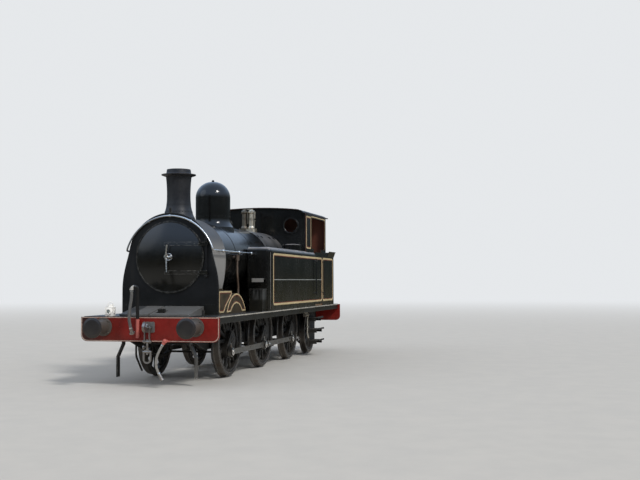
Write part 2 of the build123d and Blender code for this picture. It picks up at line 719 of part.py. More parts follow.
# Boiler. Its shell and the smokebox share one kind of outline: a round top and sides that draw in
BARREL_RADIUS = 715.0
SMOKEBOX_RADIUS = 770.0
SMOKEBOX_REAR = 1900.0
SMOKEBOX_T = 16.0
SMOKEBOX_WAIST = 1480.0
SMOKEBOX_FLOOR = SMOKEBOX_WAIST - 30
FRONT_PLATE_T = 20.0
FRONT_PLATE_RADIUS = 815.0
FRONT_PLATE_HALF = 960.0
FRONT_PLATE_KNEE = 1660.0
DOOR_RADIUS = 675.0
DOOR_OPENING = 630.0
CHIMNEY_BACK = 1380.0
FLUE_RADIUS = 165.0
FIREBOX_FRONT = 4950.0
FIREBOX_LOW_REAR = 6250.0
BACKHEAD = 6700.0
BAND_T = 5.0
BAND_WIDTH = 62.0

# Smokebox door and its hinge
DOOR_SEAT = SMOKEBOX_FRONT - FRONT_PLATE_T
DOOR_FLANGE_T = 24.0
DOOR_FLAT = 30.0
DISH_DEPTH = 120.0
DOOR_SHEET = 14.0
STRAP_OUT = 16.0
STRAP_DEPTH = 62.0
STRAP_HEIGHTS = (BOILER_HEIGHT - 290, BOILER_HEIGHT + 240)
HINGE_X = 728.0
HINGE_BACK = DOOR_SEAT - 44
POST_RADIUS = 15.0
KNUCKLE_RADIUS = 30.0
POST_LOW = STRAP_HEIGHTS[0] - 95
POST_HIGH = STRAP_HEIGHTS[1] + 95


def waisted(t, radius, foot_half, waist, foot):
    """Outline across the engine at t: round above the centre line, drawn in to a straight foot."""
    with BuildSketch(across(t)) as outline:
        with BuildLine():
            shoulder = (radius, up(BOILER_HEIGHT))
            knee = (foot_half, up(waist))
            ThreePointArc((-radius, up(BOILER_HEIGHT)), (0, up(BOILER_HEIGHT) + radius), shoulder)
            TangentArc(shoulder, knee, tangent=(0, -1))
            Polyline(knee, (foot_half, up(foot)), (-foot_half, up(foot)), (-foot_half, up(waist)))
            TangentArc((-radius, up(BOILER_HEIGHT)), (-foot_half, up(waist)), tangent=(0, -1))
        make_face()
    return outline.sketch


SMOKEBOX_FOOT = FRAME_OUTSIDE
wrapper = waisted(SMOKEBOX_FRONT, SMOKEBOX_RADIUS, SMOKEBOX_FOOT, SMOKEBOX_WAIST, FOOTPLATE_TOP)
hollow = waisted(
    SMOKEBOX_FRONT, SMOKEBOX_RADIUS - SMOKEBOX_T, SMOKEBOX_FOOT - SMOKEBOX_T, SMOKEBOX_WAIST, SMOKEBOX_FLOOR
)
with BuildPart() as smokebox_form:
    extrude(wrapper, amount=-(SMOKEBOX_REAR - SMOKEBOX_FRONT))
with BuildPart() as smokebox:
    add(smokebox_form.part)
    extrude(hollow, amount=-(SMOKEBOX_REAR - SMOKEBOX_FRONT - SMOKEBOX_T), mode=Mode.SUBTRACT)
    with BuildSketch(level(BOILER_HEIGHT + SMOKEBOX_RADIUS - 60)):
        with Locations((0, back(CHIMNEY_BACK))):
            Circle(FLUE_RADIUS)
    extrude(amount=100, mode=Mode.SUBTRACT)
    # Blast pipe under the chimney
    with BuildSketch(level(SMOKEBOX_FLOOR - 5)):
        with Locations((0, back(CHIMNEY_BACK))):
            Circle(95)
    extrude(amount=560, taper=3.5)
pieces["smokebox"] = smokebox

# Front plate, flared at its sides down to the running plate
with BuildPart() as smokebox_front:
    with BuildSketch(across(SMOKEBOX_FRONT)):
        with BuildLine():
            plate_shoulder = (FRONT_PLATE_RADIUS, up(BOILER_HEIGHT))
            plate_knee = (FRONT_PLATE_HALF, up(FRONT_PLATE_KNEE))
            ThreePointArc(
                (-FRONT_PLATE_RADIUS, up(BOILER_HEIGHT)),
                (0, up(BOILER_HEIGHT) + FRONT_PLATE_RADIUS),
                plate_shoulder,
            )
            TangentArc(plate_shoulder, plate_knee, tangent=(0, -1))
            Polyline(
                plate_knee,
                (FRONT_PLATE_HALF, up(FOOTPLATE_TOP)),
                (-FRONT_PLATE_HALF, up(FOOTPLATE_TOP)),
                (-FRONT_PLATE_HALF, up(FRONT_PLATE_KNEE)),
            )
            TangentArc(
                (-FRONT_PLATE_RADIUS, up(BOILER_HEIGHT)),
                (-FRONT_PLATE_HALF, up(FRONT_PLATE_KNEE)),
                tangent=(0, -1),
            )
        make_face()
        with Locations((0, up(BOILER_HEIGHT))):
            Circle(DOOR_OPENING, mode=Mode.SUBTRACT)
    extrude(amount=FRONT_PLATE_T)
    # Hinge post of the door, with two brackets on the front plate
    with BuildSketch(level(POST_LOW)):
        with Locations((HINGE_X, back(HINGE_BACK))):
            Circle(POST_RADIUS)
    extrude(amount=POST_HIGH - POST_LOW)
    for height in (STRAP_HEIGHTS[0] - 70, STRAP_HEIGHTS[1] + 70):
        add(block(HINGE_X - 26, HINGE_X + 26, HINGE_BACK - 26, DOOR_SEAT, height - 22, height + 22))
pieces["smokebox_front"] = smokebox_front

# Smokebox door: a dished shell with two straps, hung on the post at its left side
dish_rim = DOOR_RADIUS - DOOR_FLAT


def dish(grow, deepen):
    """Round cap about the boiler's centre line, bulging forward from the door's flange."""
    with BuildPart() as cap:
        with BuildSketch(Plane.XY.offset(up(BOILER_HEIGHT))):
            with BuildLine():
                rim = (dish_rim + grow, back(DOOR_SEAT - DOOR_FLANGE_T))
                crest = (0, back(DOOR_SEAT - DOOR_FLANGE_T - DISH_DEPTH - deepen))
                bulge = RadiusArc(rim, crest, ((dish_rim + grow) ** 2 + (DISH_DEPTH + deepen) ** 2) / 2
                                  / (DISH_DEPTH + deepen))
                Polyline(crest, (0, back(DOOR_SEAT - DOOR_FLANGE_T)), rim)
            make_face()
        revolve(axis=Axis((0, 0, up(BOILER_HEIGHT)), (0, 1, 0)))
    return cap.part


outer_dish = dish(0, 0)
inner_dish = dish(-DOOR_SHEET, -DOOR_SHEET)
strap_dish = dish(12, STRAP_OUT)
with BuildPart() as smokebox_door:
    with BuildSketch(across(DOOR_SEAT)):
        with Locations((0, up(BOILER_HEIGHT))):
            Circle(DOOR_RADIUS)
    extrude(amount=DOOR_FLANGE_T)
    add(outer_dish)
    add(inner_dish, mode=Mode.SUBTRACT)
    with BuildSketch(across(DOOR_SEAT)):
        with Locations((0, up(BOILER_HEIGHT))):
            Circle(dish_rim - DOOR_SHEET)
    extrude(amount=DOOR_FLANGE_T, mode=Mode.SUBTRACT)
    for height in STRAP_HEIGHTS:
        low, high = height - STRAP_DEPTH / 2, height + STRAP_DEPTH / 2
        add((strap_dish - outer_dish) & block(-60, DOOR_RADIUS, 0, DOOR_SEAT, low, high))
        add(block(dish_rim - 70, HINGE_X, HINGE_BACK - 10, HINGE_BACK + 12, low, high))
        with BuildSketch(level(low)):
            with Locations((HINGE_X, back(HINGE_BACK))):
                Circle(KNUCKLE_RADIUS)
        extrude(amount=STRAP_DEPTH)
        with BuildSketch(level(low)):
            with Locations((HINGE_X, back(HINGE_BACK))):
                Circle(POST_RADIUS + RUNNING_FIT)
        extrude(amount=STRAP_DEPTH, mode=Mode.SUBTRACT)
pieces["smokebox_door"] = smokebox_door

# Two door handles on the centre spindle
SPINDLE_FRONT = DOOR_SEAT - DOOR_FLANGE_T - DISH_DEPTH
with BuildPart() as door_handles:
    with BuildSketch(across(SPINDLE_FRONT + 4)):
        with Locations((0, up(BOILER_HEIGHT))):
            Circle(34)
    extrude(amount=84)
    # Handles: distance out, angle from straight up, length
    for out, lean, length in ((38, 178, 285), (70, 8, 225)):
        reach = math.radians(lean)
        start = Vector(0, back(SPINDLE_FRONT - out), up(BOILER_HEIGHT))
        tip = start + Vector(length * math.sin(reach), -18, length * math.cos(reach))
        with BuildSketch(Plane(origin=start, z_dir=tip - start)):
            Circle(19)
        extrude(amount=length, taper=1.2)
    add(outer_dish, mode=Mode.SUBTRACT)
pieces["door_handles"] = door_handles

# Barrel cladding with its bands; the dome and the feed clacks stand between the bands
BARREL_BANDS = (1935.0, 2740.0, 3860.0, 4915.0)
with BuildPart() as boiler_barrel:
    with BuildSketch(across(SMOKEBOX_REAR)):
        with Locations((0, up(BOILER_HEIGHT))):
            Circle(BARREL_RADIUS)
    extrude(amount=-(FIREBOX_FRONT - SMOKEBOX_REAR))
    for band in BARREL_BANDS:
        with BuildSketch(across(band - BAND_WIDTH / 2)):
            with Locations((0, up(BOILER_HEIGHT))):
                Circle(BARREL_RADIUS + BAND_T)
        extrude(amount=-BAND_WIDTH)
pieces["boiler_barrel"] = boiler_barrel

# Firebox: the barrel's round top over straight sides that go down between the frames
FIREBOX_FOOT_HALF = 596.0
FIREBOX_BOTTOM = 960.0
CAB_FOOT = 1300.0
low_outline = waisted(FIREBOX_FRONT, BARREL_RADIUS, FIREBOX_FOOT_HALF, 1480, FIREBOX_BOTTOM)
high_outline = waisted(FIREBOX_LOW_REAR, BARREL_RADIUS, FIREBOX_FOOT_HALF, 1480, CAB_FOOT)
with BuildPart() as firebox:
    extrude(low_outline, amount=-(FIREBOX_LOW_REAR - FIREBOX_FRONT))
    extrude(high_outline, amount=-(BACKHEAD - FIREBOX_LOW_REAR))
    fillet(
        firebox.faces().sort_by(Axis.Y)[-1].edges().filter_by(GeomType.CIRCLE).sort_by(Axis.Z)[-1:], 60
    )
pieces["firebox"] = firebox

with BuildPart() as ashpan:
    with BuildSketch(level(FIREBOX_BOTTOM)):
        with Locations((0, back(5600))):
            Rectangle(1090, 1180)
    with BuildSketch(level(FIREBOX_BOTTOM - 220)):
        with Locations((0, back(5600))):
            Rectangle(1090, 1100)
    loft()
    with BuildSketch(level(FIREBOX_BOTTOM - 220)):
        with Locations((0, back(5600))):
            Rectangle(1000, 1100)
    with BuildSketch(level(FIREBOX_BOTTOM - 470)):
        with Locations((0, back(5600))):
            Rectangle(760, 700)
    loft()
pieces["ashpan"] = ashpan

# Chimney: a turned casting with a rim, a flue through it and a base cut to the smokebox's curve
CHIMNEY_TOP = 3975.0
CHIMNEY_RIM_RADIUS = 312.0
drum_line = BOILER_HEIGHT + SMOKEBOX_RADIUS
with BuildPart() as chimney:
    with BuildSketch(Plane(origin=(0, back(CHIMNEY_BACK), 0), x_dir=(1, 0, 0), z_dir=(0, -1, 0))):
        with BuildLine():
            Line((FLUE_RADIUS, up(CHIMNEY_TOP)), (226, up(CHIMNEY_TOP)))
            Polyline((226, up(CHIMNEY_TOP)), (236, up(CHIMNEY_TOP - 70)), (250, up(CHIMNEY_TOP - 88)))
            Polyline(
                (250, up(CHIMNEY_TOP - 88)),
                (CHIMNEY_RIM_RADIUS, up(CHIMNEY_TOP - 96)),
                (CHIMNEY_RIM_RADIUS, up(CHIMNEY_TOP - 112)),
                (244, up(CHIMNEY_TOP - 140)),
            )
            barrel_curve = ThreePointArc(
                (244, up(CHIMNEY_TOP - 140)), (213, up(CHIMNEY_TOP - 420)), (208, up(drum_line + 250))
            )
            foot = ThreePointArc(
                (208, up(drum_line + 250)), (216, up(drum_line + 120)), (282, up(drum_line - 10))
            )
            Polyline(foot @ 1, (300, up(drum_line - 90)), (FLUE_RADIUS, up(drum_line - 90)))
            Line((FLUE_RADIUS, up(drum_line - 90)), (FLUE_RADIUS, up(CHIMNEY_TOP)))
        make_face()
    revolve(axis=Axis((0, back(CHIMNEY_BACK), 0), (0, 0, 1)))
    with BuildSketch(across(0)):
        with Locations((0, up(BOILER_HEIGHT))):
            Circle(SMOKEBOX_RADIUS)
    extrude(amount=-3000, mode=Mode.SUBTRACT)
pieces["chimney"] = chimney

# Dome: a round-topped casing with a flared foot and a small finial
DOME_BACK = 3300.0
DOME_RADIUS = 356.0
DOME_SPRING = 3530.0
DOME_TOP = 3875.0
barrel_line = BOILER_HEIGHT + BARREL_RADIUS
with BuildPart() as dome:
    with BuildSketch(Plane(origin=(0, back(DOME_BACK), 0), x_dir=(1, 0, 0), z_dir=(0, -1, 0))):
        with BuildLine():
            finial_foot = (26, up(DOME_TOP - 4))
            crest = ThreePointArc(
                (DOME_RADIUS, up(DOME_SPRING)),
                (DOME_RADIUS * 0.72, up(DOME_SPRING + (DOME_TOP - DOME_SPRING) * 0.70)),
                finial_foot,
            )
            Polyline(finial_foot, (26, up(DOME_TOP + 22)), (14, up(DOME_TOP + 34)), (0, up(DOME_TOP + 34)))
            Polyline(
                (0, up(DOME_TOP + 34)),
                (0, up(barrel_line - 180)),
                (450, up(barrel_line - 180)),
                (436, up(barrel_line - 40)),
            )
            ThreePointArc(
                (436, up(barrel_line - 40)), (378, up(barrel_line + 48)), (DOME_RADIUS, up(barrel_line + 150))
            )
            Line((DOME_RADIUS, up(barrel_line + 150)), (DOME_RADIUS, up(DOME_SPRING)))
        make_face()
    revolve(axis=Axis((0, back(DOME_BACK), 0), (0, 0, 1)))
    with BuildSketch(across(0)):
        with Locations((0, up(BOILER_HEIGHT))):
            Circle(BARREL_RADIUS)
    extrude(amount=-OVER_BEAMS, mode=Mode.SUBTRACT)
pieces["dome"] = dome

# Safety valves: two columns on one base, joined by a lever
VALVE_BACK = 5700.0
VALVE_X = 86.0
VALVE_TOP = 3520.0
with BuildPart() as safety_valves:
    with BuildSketch(level(barrel_line - 60)):
        with Locations((0, back(VALVE_BACK))):
            RectangleRounded(400, 230, 60)
    extrude(amount=110)
    for side in (-1, 1):
        with BuildSketch(Plane(origin=(0, back(VALVE_BACK), 0), x_dir=(1, 0, 0), z_dir=(0, -1, 0))):
            with BuildLine():
                middle = side * VALVE_X
                Polyline(
                    (middle, up(barrel_line + 50)),
                    (middle + 80, up(barrel_line + 50)),
                    (middle + 80, up(barrel_line + 85)),
                    (middle + 58, up(barrel_line + 120)),
                    (middle + 52, up(VALVE_TOP - 110)),
                    (middle + 74, up(VALVE_TOP - 85)),
                    (middle + 74, up(VALVE_TOP - 45)),
                    (middle + 40, up(VALVE_TOP - 20)),
                    (middle + 24, up(VALVE_TOP)),
                    (middle, up(VALVE_TOP)),
                    close=True,
                )
            make_face()
        revolve(axis=Axis((side * VALVE_X, back(VALVE_BACK), 0), (0, 0, 1)))
    add(block(-130, 130, VALVE_BACK - 12, VALVE_BACK + 12, VALVE_TOP - 12, VALVE_TOP + 18))
    with BuildSketch(across(0)):
        with Locations((0, up(BOILER_HEIGHT))):
            Circle(BARREL_RADIUS)
    extrude(amount=-OVER_BEAMS, mode=Mode.SUBTRACT)
pieces["safety_valves"] = safety_valves

# Whistle on its valve, ahead of the cab. Turned lengths: low and high above the boiler's top, radius
WHISTLE_BACK = 6200.0
WHISTLE_LENGTHS = [(-30, 270, 20), (270, 294, 36), (294, 330, 12), (330, 500, 34), (500, 524, 12)]
with BuildPart() as whistle:
    for low, high, radius in WHISTLE_LENGTHS:
        with BuildSketch(level(barrel_line + low)):
            with Locations((0, back(WHISTLE_BACK))):
                Circle(radius)
        extrude(amount=high - low)
    with BuildSketch(across(0)):
        with Locations((0, up(BOILER_HEIGHT))):
            Circle(BARREL_RADIUS)
    extrude(amount=-OVER_BEAMS, mode=Mode.SUBTRACT)
pieces["whistle"] = whistle

# Side tanks with wells for the wheels and a bored filler neck each
TANK_FRONT = 3400.0
TANK_REAR = 7300.0
TANK_INSIDE = 735.0
TANK_OUTSIDE = 1240.0
TANK_TOP = 2550.0
SHOULDER = 95.0
WELL_RADIUS = 765.0
FILLER_BACK = 6100.0
FILLER_X = 985.0
FILLER_NECK = 120.0
FILLER_BORE = 180.0
FILLER_RADIUS = 196.0
FILLER_DEPTH = 380.0
LID_HINGE_X = 742.0
LID_HINGE_UP = TANK_TOP + FILLER_NECK + 14
LID_PIN_RADIUS = 8.0
with BuildPart() as side_tanks:
    with BuildSketch(across(TANK_FRONT)) as tank_section:
        with BuildLine():
            Polyline(
                (TANK_INSIDE, up(FOOTPLATE_TOP)),
                (TANK_OUTSIDE, up(FOOTPLATE_TOP)),
                (TANK_OUTSIDE, up(TANK_TOP)),
                (TANK_INSIDE, up(TANK_TOP)),
                close=True,
            )
        make_face()
        fillet(tank_section.vertices().group_by(Axis.X)[-1].sort_by(Axis.Y)[-1], SHOULDER)
    extrude(amount=-(TANK_REAR - TANK_FRONT))
    front_corner = side_tanks.edges().filter_by(Axis.Z).group_by(Axis.X)[-1].sort_by(Axis.Y)[0]
    fillet(front_corner, SHOULDER - 15)
    for axle in (DRIVING_AXLE, REAR_COUPLED_AXLE):
        with BuildSketch(beside(TANK_INSIDE)):
            with Locations((back(axle), up(COUPLED_RADIUS))):
                Circle(WELL_RADIUS)
        extrude(amount=WHEEL_OPENING_X[1] - TANK_INSIDE, mode=Mode.SUBTRACT)
    with BuildSketch(level(TANK_TOP)):
        with Locations((FILLER_X, back(FILLER_BACK))):
            Circle(FILLER_RADIUS)
    extrude(amount=FILLER_NECK)
    with BuildSketch(level(TANK_TOP + FILLER_NECK - FILLER_DEPTH)):
        with Locations((FILLER_X, back(FILLER_BACK))):
            Circle(FILLER_BORE)
    extrude(amount=FILLER_DEPTH, mode=Mode.SUBTRACT)
    # Ears of the lid's hinge stand on the tank top
    for ear in (-1, 1):
        with BuildSketch(across(FILLER_BACK + ear * 44 - 10)):
            with Locations((LID_HINGE_X + 14, up((TANK_TOP + LID_HINGE_UP) / 2))):
                Rectangle(42, LID_HINGE_UP - TANK_TOP)
            with Locations((LID_HINGE_X, up(LID_HINGE_UP))):
                Circle(19)
            with Locations((LID_HINGE_X, up(LID_HINGE_UP))):
                Circle(LID_PIN_RADIUS + RUNNING_FIT, mode=Mode.SUBTRACT)
        extrude(amount=-20)
    mirror(about=Plane.YZ)
pieces["side_tanks"] = side_tanks

# Filler lids: a low dished disc, a hinge arm with its pin, and a grip
LID_RADIUS = 206.0
LID_T = 16.0
LID_DISH = 28.0
lid_low = TANK_TOP + FILLER_NECK + 0.5
with BuildPart() as left_tank_lid:
    with BuildSketch(Plane(origin=(FILLER_X, back(FILLER_BACK), 0), x_dir=(1, 0, 0), z_dir=(0, -1, 0))):
        with BuildLine():
            Polyline((0, up(lid_low)), (LID_RADIUS, up(lid_low)), (LID_RADIUS, up(lid_low + LID_T)))
            lid_curve = (LID_RADIUS**2 + LID_DISH**2) / (2 * LID_DISH)
            RadiusArc((LID_RADIUS, up(lid_low + LID_T)), (0, up(lid_low + LID_T + LID_DISH)), -lid_curve)
            Line((0, up(lid_low + LID_T + LID_DISH)), (0, up(lid_low)))
        make_face()
    revolve(axis=Axis((FILLER_X, back(FILLER_BACK), 0), (0, 0, 1)))
    add(block(LID_HINGE_X, FILLER_X - 120, FILLER_BACK - 30, FILLER_BACK + 30, lid_low, lid_low + LID_T + 8))
    with BuildSketch(across(FILLER_BACK - 30)):
        with Locations((LID_HINGE_X, up(LID_HINGE_UP))):
            Circle(18)
    extrude(amount=-60)
    with BuildSketch(across(FILLER_BACK - 54)):
        with Locations((LID_HINGE_X, up(LID_HINGE_UP))):
            Circle(LID_PIN_RADIUS)
    extrude(amount=-108)
    grip_x = FILLER_X + 150
    for side in (-1, 1):
        add(block(grip_x - 8, grip_x + 8, FILLER_BACK + side * 50 - 8, FILLER_BACK + side * 50 + 8,
                  lid_low + LID_T, lid_low + LID_T + 52))
    add(block(grip_x - 8, grip_x + 8, FILLER_BACK - 58, FILLER_BACK + 58, lid_low + LID_T + 40,
              lid_low + LID_T + 56))
with BuildPart() as right_tank_lid:
    add(left_tank_lid.part.mirror(Plane.YZ))
pieces["left_tank_lid"] = left_tank_lid
pieces["right_tank_lid"] = right_tank_lid

# Splashers over the leading wheels, and low covers over the others between tank and boiler
SPLASHER_OUTSIDE = 945.0
SPLASHER_INSIDE = 640.0
SPLASHER_RADIUS = 650.0
SPLASHER_CENTRE = 952.0
SHEET = 8.0
COVER_RADIUS = WELL_RADIUS + 10


def wheel_cover(axle, radius, centre, outside, closed_outside):
    """Sheet hood over a wheel, standing on the running plate."""
    with BuildPart() as hood:
        with BuildSketch(beside(SPLASHER_INSIDE)):
            with Locations((back(axle), up(centre))):
                Circle(radius)
            with Locations((back(axle), up(FOOTPLATE_TOP) + radius)):
                Rectangle(3 * radius, 2 * radius, mode=Mode.INTERSECT)
        extrude(amount=outside - SPLASHER_INSIDE)
        with BuildSketch(beside(SPLASHER_INSIDE + SHEET)):
            with Locations((back(axle), up(centre))):
                Circle(radius - SHEET)
        depth = outside - SPLASHER_INSIDE - SHEET - (SHEET if closed_outside else 0)
        extrude(amount=depth, mode=Mode.SUBTRACT)
    return hood.part


with BuildPart() as splashers:
    add(wheel_cover(LEADING_AXLE, SPLASHER_RADIUS, SPLASHER_CENTRE, SPLASHER_OUTSIDE, True))
    for axle in (DRIVING_AXLE, REAR_COUPLED_AXLE):
        add(wheel_cover(axle, COVER_RADIUS, COUPLED_RADIUS, TANK_INSIDE, False))
    mirror(about=Plane.YZ)
    add(smokebox_form.part, mode=Mode.SUBTRACT)
    add(smokebox_front.part, mode=Mode.SUBTRACT)
pieces["splashers"] = splashers

# Sandboxes stand against the front plate and follow the splashers' curve
SANDBOX_REAR = 1760.0
SANDBOX_TOP = 1662.0
SANDBOX_INSIDE = 690.0
with BuildPart() as sandboxes:
    with BuildSketch(beside(SANDBOX_INSIDE)):
        with BuildLine():
            Polyline(
                (back(SMOKEBOX_FRONT), up(FOOTPLATE_TOP)),
                (back(SANDBOX_REAR), up(FOOTPLATE_TOP)),
                (back(SANDBOX_REAR), up(SANDBOX_TOP)),
                (back(SMOKEBOX_FRONT), up(SANDBOX_TOP)),
                close=True,
            )
        make_face()
        with Locations((back(LEADING_AXLE), up(SPLASHER_CENTRE))):
            Circle(SPLASHER_RADIUS, mode=Mode.SUBTRACT)
    extrude(amount=SPLASHER_OUTSIDE - SANDBOX_INSIDE)
    with BuildSketch(level(SANDBOX_TOP)):
        with Locations((815, back(1320))):
            Circle(95)
    extrude(amount=34)
    mirror(about=Plane.YZ)
pieces["sandboxes"] = sandboxes

# Toolboxes on the running plate ahead of the tanks, and a step on each tank front
with BuildPart() as toolboxes:
    add(block(870, 1150, 3100, TANK_FRONT, FOOTPLATE_TOP, 1650))
    add(block(862, 1158, 3088, TANK_FRONT, 1650, 1680))
    add(block(880, 1140, 3210, TANK_FRONT, 1870, 1892))
    mirror(about=Plane.YZ)
pieces["toolboxes"] = toolboxes

# Sloping casing over the front of the frames, in two widths with a gap, and a hatch in the wider one
CASING = (220.0, DOOR_SEAT)
CASING_LIP = 1246.0
CASING_BACK_TOP = 1376.0
# Widths: low X, high X
CASING_PARTS = [(-670.0, -118.0), (-86.0, 670.0)]
with BuildPart() as front_casing:
    for x0, x1 in CASING_PARTS:
        with BuildSketch(beside(x0)):
            with BuildLine():
                Polyline(
                    (back(CASING[0]), up(FOOTPLATE_TOP)),
                    (back(CASING[1]), up(FOOTPLATE_TOP)),
                    (back(CASING[1]), up(CASING_BACK_TOP)),
                    (back(CASING[0]), up(CASING_LIP)),
                    close=True,
                )
            make_face()
        extrude(amount=x1 - x0)
        with BuildSketch(beside(x0 + SHEET)):
            with BuildLine():
                Polyline(
                    (back(CASING[0] + SHEET), up(FOOTPLATE_TOP)),
                    (back(CASING[1] - SHEET), up(FOOTPLATE_TOP)),
                    (back(CASING[1] - SHEET), up(CASING_BACK_TOP - SHEET)),
                    (back(CASING[0] + SHEET), up(CASING_LIP - SHEET)),
                    close=True,
                )
            make_face()
        extrude(amount=x1 - x0 - 2 * SHEET, mode=Mode.SUBTRACT)
    with BuildSketch(level(FOOTPLATE_TOP + 2)):
        with Locations((30, back(420))):
            Rectangle(130, 150)
    extrude(amount=200, mode=Mode.SUBTRACT)
pieces["front_casing"] = front_casing

# Cab. The roof's outline is shared by the front, sides and back
CAB_FRONT = 6500.0
CAB_BACK = 8600.0
CAB_SHEET = 12.0
CAB_HALF = 1200.0
EAVES = 3460.0
ROOF_KNEE_X = 1000.0
ROOF_KNEE = 3560.0
ROOF_CREST = 3610.0
ROOF_OVERHANG = (140.0, 190.0)
SPECTACLE_X = 560.0
SPECTACLE_HEIGHT = 3170.0
SPECTACLE_RADIUS = 170.0


def roof_outline(t, drop, base):
    """Closed outline under the roof at t, drawn in by drop and closed along a base line."""
    half = CAB_HALF - drop
    knee = (ROOF_KNEE_X - drop * 0.4, up(ROOF_KNEE - drop))
    eave = (half, up(EAVES))
    slope = math.atan(2 * (ROOF_CREST - ROOF_KNEE) / ROOF_KNEE_X)
    with BuildSketch(across(t)) as outline:
        with BuildLine():
            ThreePointArc((-knee[0], knee[1]), (0, up(ROOF_CREST - drop)), knee)
            TangentArc(knee, eave, tangent=(math.cos(slope), -math.sin(slope)))
            Polyline(eave, (half, up(base)), (-half, up(base)), (-half, up(EAVES)))
            TangentArc((-knee[0], knee[1]), (-half, up(EAVES)), tangent=(-math.cos(slope), -math.sin(slope)))
        make_face()
    return outline.sketch


roof_front = CAB_FRONT - ROOF_OVERHANG[0]
roof_length = CAB_BACK + CAB_SHEET + ROOF_OVERHANG[1] - roof_front
with BuildPart() as cab_roof:
    extrude(roof_outline(roof_front, 0, EAVES - 100), amount=-roof_length)
    extrude(roof_outline(roof_front, CAB_SHEET, EAVES - 100), amount=-roof_length, mode=Mode.SUBTRACT)
    add(block(-1300, 1300, roof_front, roof_front + roof_length, EAVES - 100, EAVES), mode=Mode.SUBTRACT)
    # Rain strips along the eaves
    for side in (-1, 1):
        add(block(side * (CAB_HALF + 9) - 9, side * (CAB_HALF + 9) + 9, roof_front, roof_front + roof_length,
                  EAVES + 4, EAVES + 24))
    # Raised ventilator with its slide bars
    with BuildSketch(across(7150)):
        with Locations((0, up(ROOF_CREST - 6))):
            Rectangle(760, 66)
    extrude(amount=-760)
    extrude(roof_outline(7000, CAB_SHEET, EAVES - 200), amount=-1200, mode=Mode.SUBTRACT)
pieces["cab_roof"] = cab_roof

SKIRT = 1500.0
with BuildPart() as cab_front:
    extrude(roof_outline(CAB_FRONT, CAB_SHEET, TANK_TOP), amount=-CAB_SHEET)
    add(block(-TANK_INSIDE, TANK_INSIDE, CAB_FRONT, CAB_FRONT + CAB_SHEET, SKIRT, TANK_TOP))
    with BuildSketch(across(CAB_FRONT)):
        with Locations(*[(x, up(SPECTACLE_HEIGHT)) for x in (-SPECTACLE_X, SPECTACLE_X)]):
            Circle(SPECTACLE_RADIUS)
    extrude(amount=-CAB_SHEET, mode=Mode.SUBTRACT)
    # Moulded rings round the windows
    with BuildSketch(across(CAB_FRONT)):
        for x in (-SPECTACLE_X, SPECTACLE_X):
            with Locations((x, up(SPECTACLE_HEIGHT))):
                Circle(SPECTACLE_RADIUS + 26)
                Circle(SPECTACLE_RADIUS - 6, mode=Mode.SUBTRACT)
    extrude(amount=14)
    add(firebox.part, mode=Mode.SUBTRACT)
    add(side_tanks.part, mode=Mode.SUBTRACT)
pieces["cab_front"] = cab_front

# Cab sides stand on the tanks and the bunker; each has one wide opening that runs down to the door
DOOR_FRONT = TANK_REAR
DOOR_REAR = 8020.0
SIDE_OPENING = (7050.0, 8450.0, 2625.0, 3385.0)
with BuildPart() as cab_sides:
    with BuildSketch(beside(CAB_HALF - CAB_SHEET)) as side_face:
        with BuildLine():
            Polyline(
                (back(CAB_FRONT + CAB_SHEET), up(TANK_TOP - SHOULDER)),
                (back(CAB_BACK), up(TANK_TOP - SHOULDER)),
                (back(CAB_BACK), up(EAVES)),
                (back(CAB_FRONT + CAB_SHEET), up(EAVES)),
                close=True,
            )
        make_face()
    extrude(amount=CAB_SHEET)
    with BuildSketch(beside(CAB_HALF - CAB_SHEET)):
        opening_t = (SIDE_OPENING[0] + SIDE_OPENING[1]) / 2
        opening_h = (SIDE_OPENING[2] + SIDE_OPENING[3]) / 2
        with Locations((back(opening_t), up(opening_h))):
            RectangleRounded(SIDE_OPENING[1] - SIDE_OPENING[0], SIDE_OPENING[3] - SIDE_OPENING[2], 60)
        with Locations((back((DOOR_FRONT + DOOR_REAR) / 2), up(2600))):
            Rectangle(DOOR_REAR - DOOR_FRONT, 700)
    extrude(amount=CAB_SHEET, mode=Mode.SUBTRACT)
    # Raised beading round the opening's top and ends
    with BuildSketch(beside(CAB_HALF)):
        with Locations((back(opening_t), up(opening_h))):
            RectangleRounded(SIDE_OPENING[1] - SIDE_OPENING[0] + 36, SIDE_OPENING[3] - SIDE_OPENING[2] + 36, 78)
            RectangleRounded(SIDE_OPENING[1] - SIDE_OPENING[0], SIDE_OPENING[3] - SIDE_OPENING[2], 60,
                             mode=Mode.SUBTRACT)
        with Locations((back((DOOR_FRONT + DOOR_REAR) / 2), up(2600))):
            Rectangle(DOOR_REAR - DOOR_FRONT, 700, mode=Mode.SUBTRACT)
    extrude(amount=10)
    mirror(about=Plane.YZ)
    add(side_tanks.part, mode=Mode.SUBTRACT)
    add(block(-TANK_OUTSIDE, TANK_OUTSIDE, DOOR_FRONT, CAB_BACK, TANK_TOP - 200, TANK_TOP), mode=Mode.SUBTRACT)
pieces["cab_sides"] = cab_sides

# Cab door leaves and their hinges
FLOOR_TOP = 1260.0
LEAF_T = 20.0
LEAF_GAP = 8.0
LEAF_LOW = FLOOR_TOP + 10
LEAF_HIGH = TANK_TOP - 4
LEAF_HINGE = (TANK_OUTSIDE - LEAF_T - 9, DOOR_REAR - 16)
LEAF_PIN_RADIUS = 6.0
LEAF_KNUCKLES = (LEAF_LOW + 160, LEAF_HIGH - 160)

# Bunker: one bent sheet round the coal space and the cab's rear corners, open at the top
BUNKER_REAR = 9420.0
BUNKER_T = 10.0
BUNKER_TOP = 2450.0
COPING_TOP = 2600.0
COPING_FLARE = 21.0
BUNKER_CORNER = 85.0


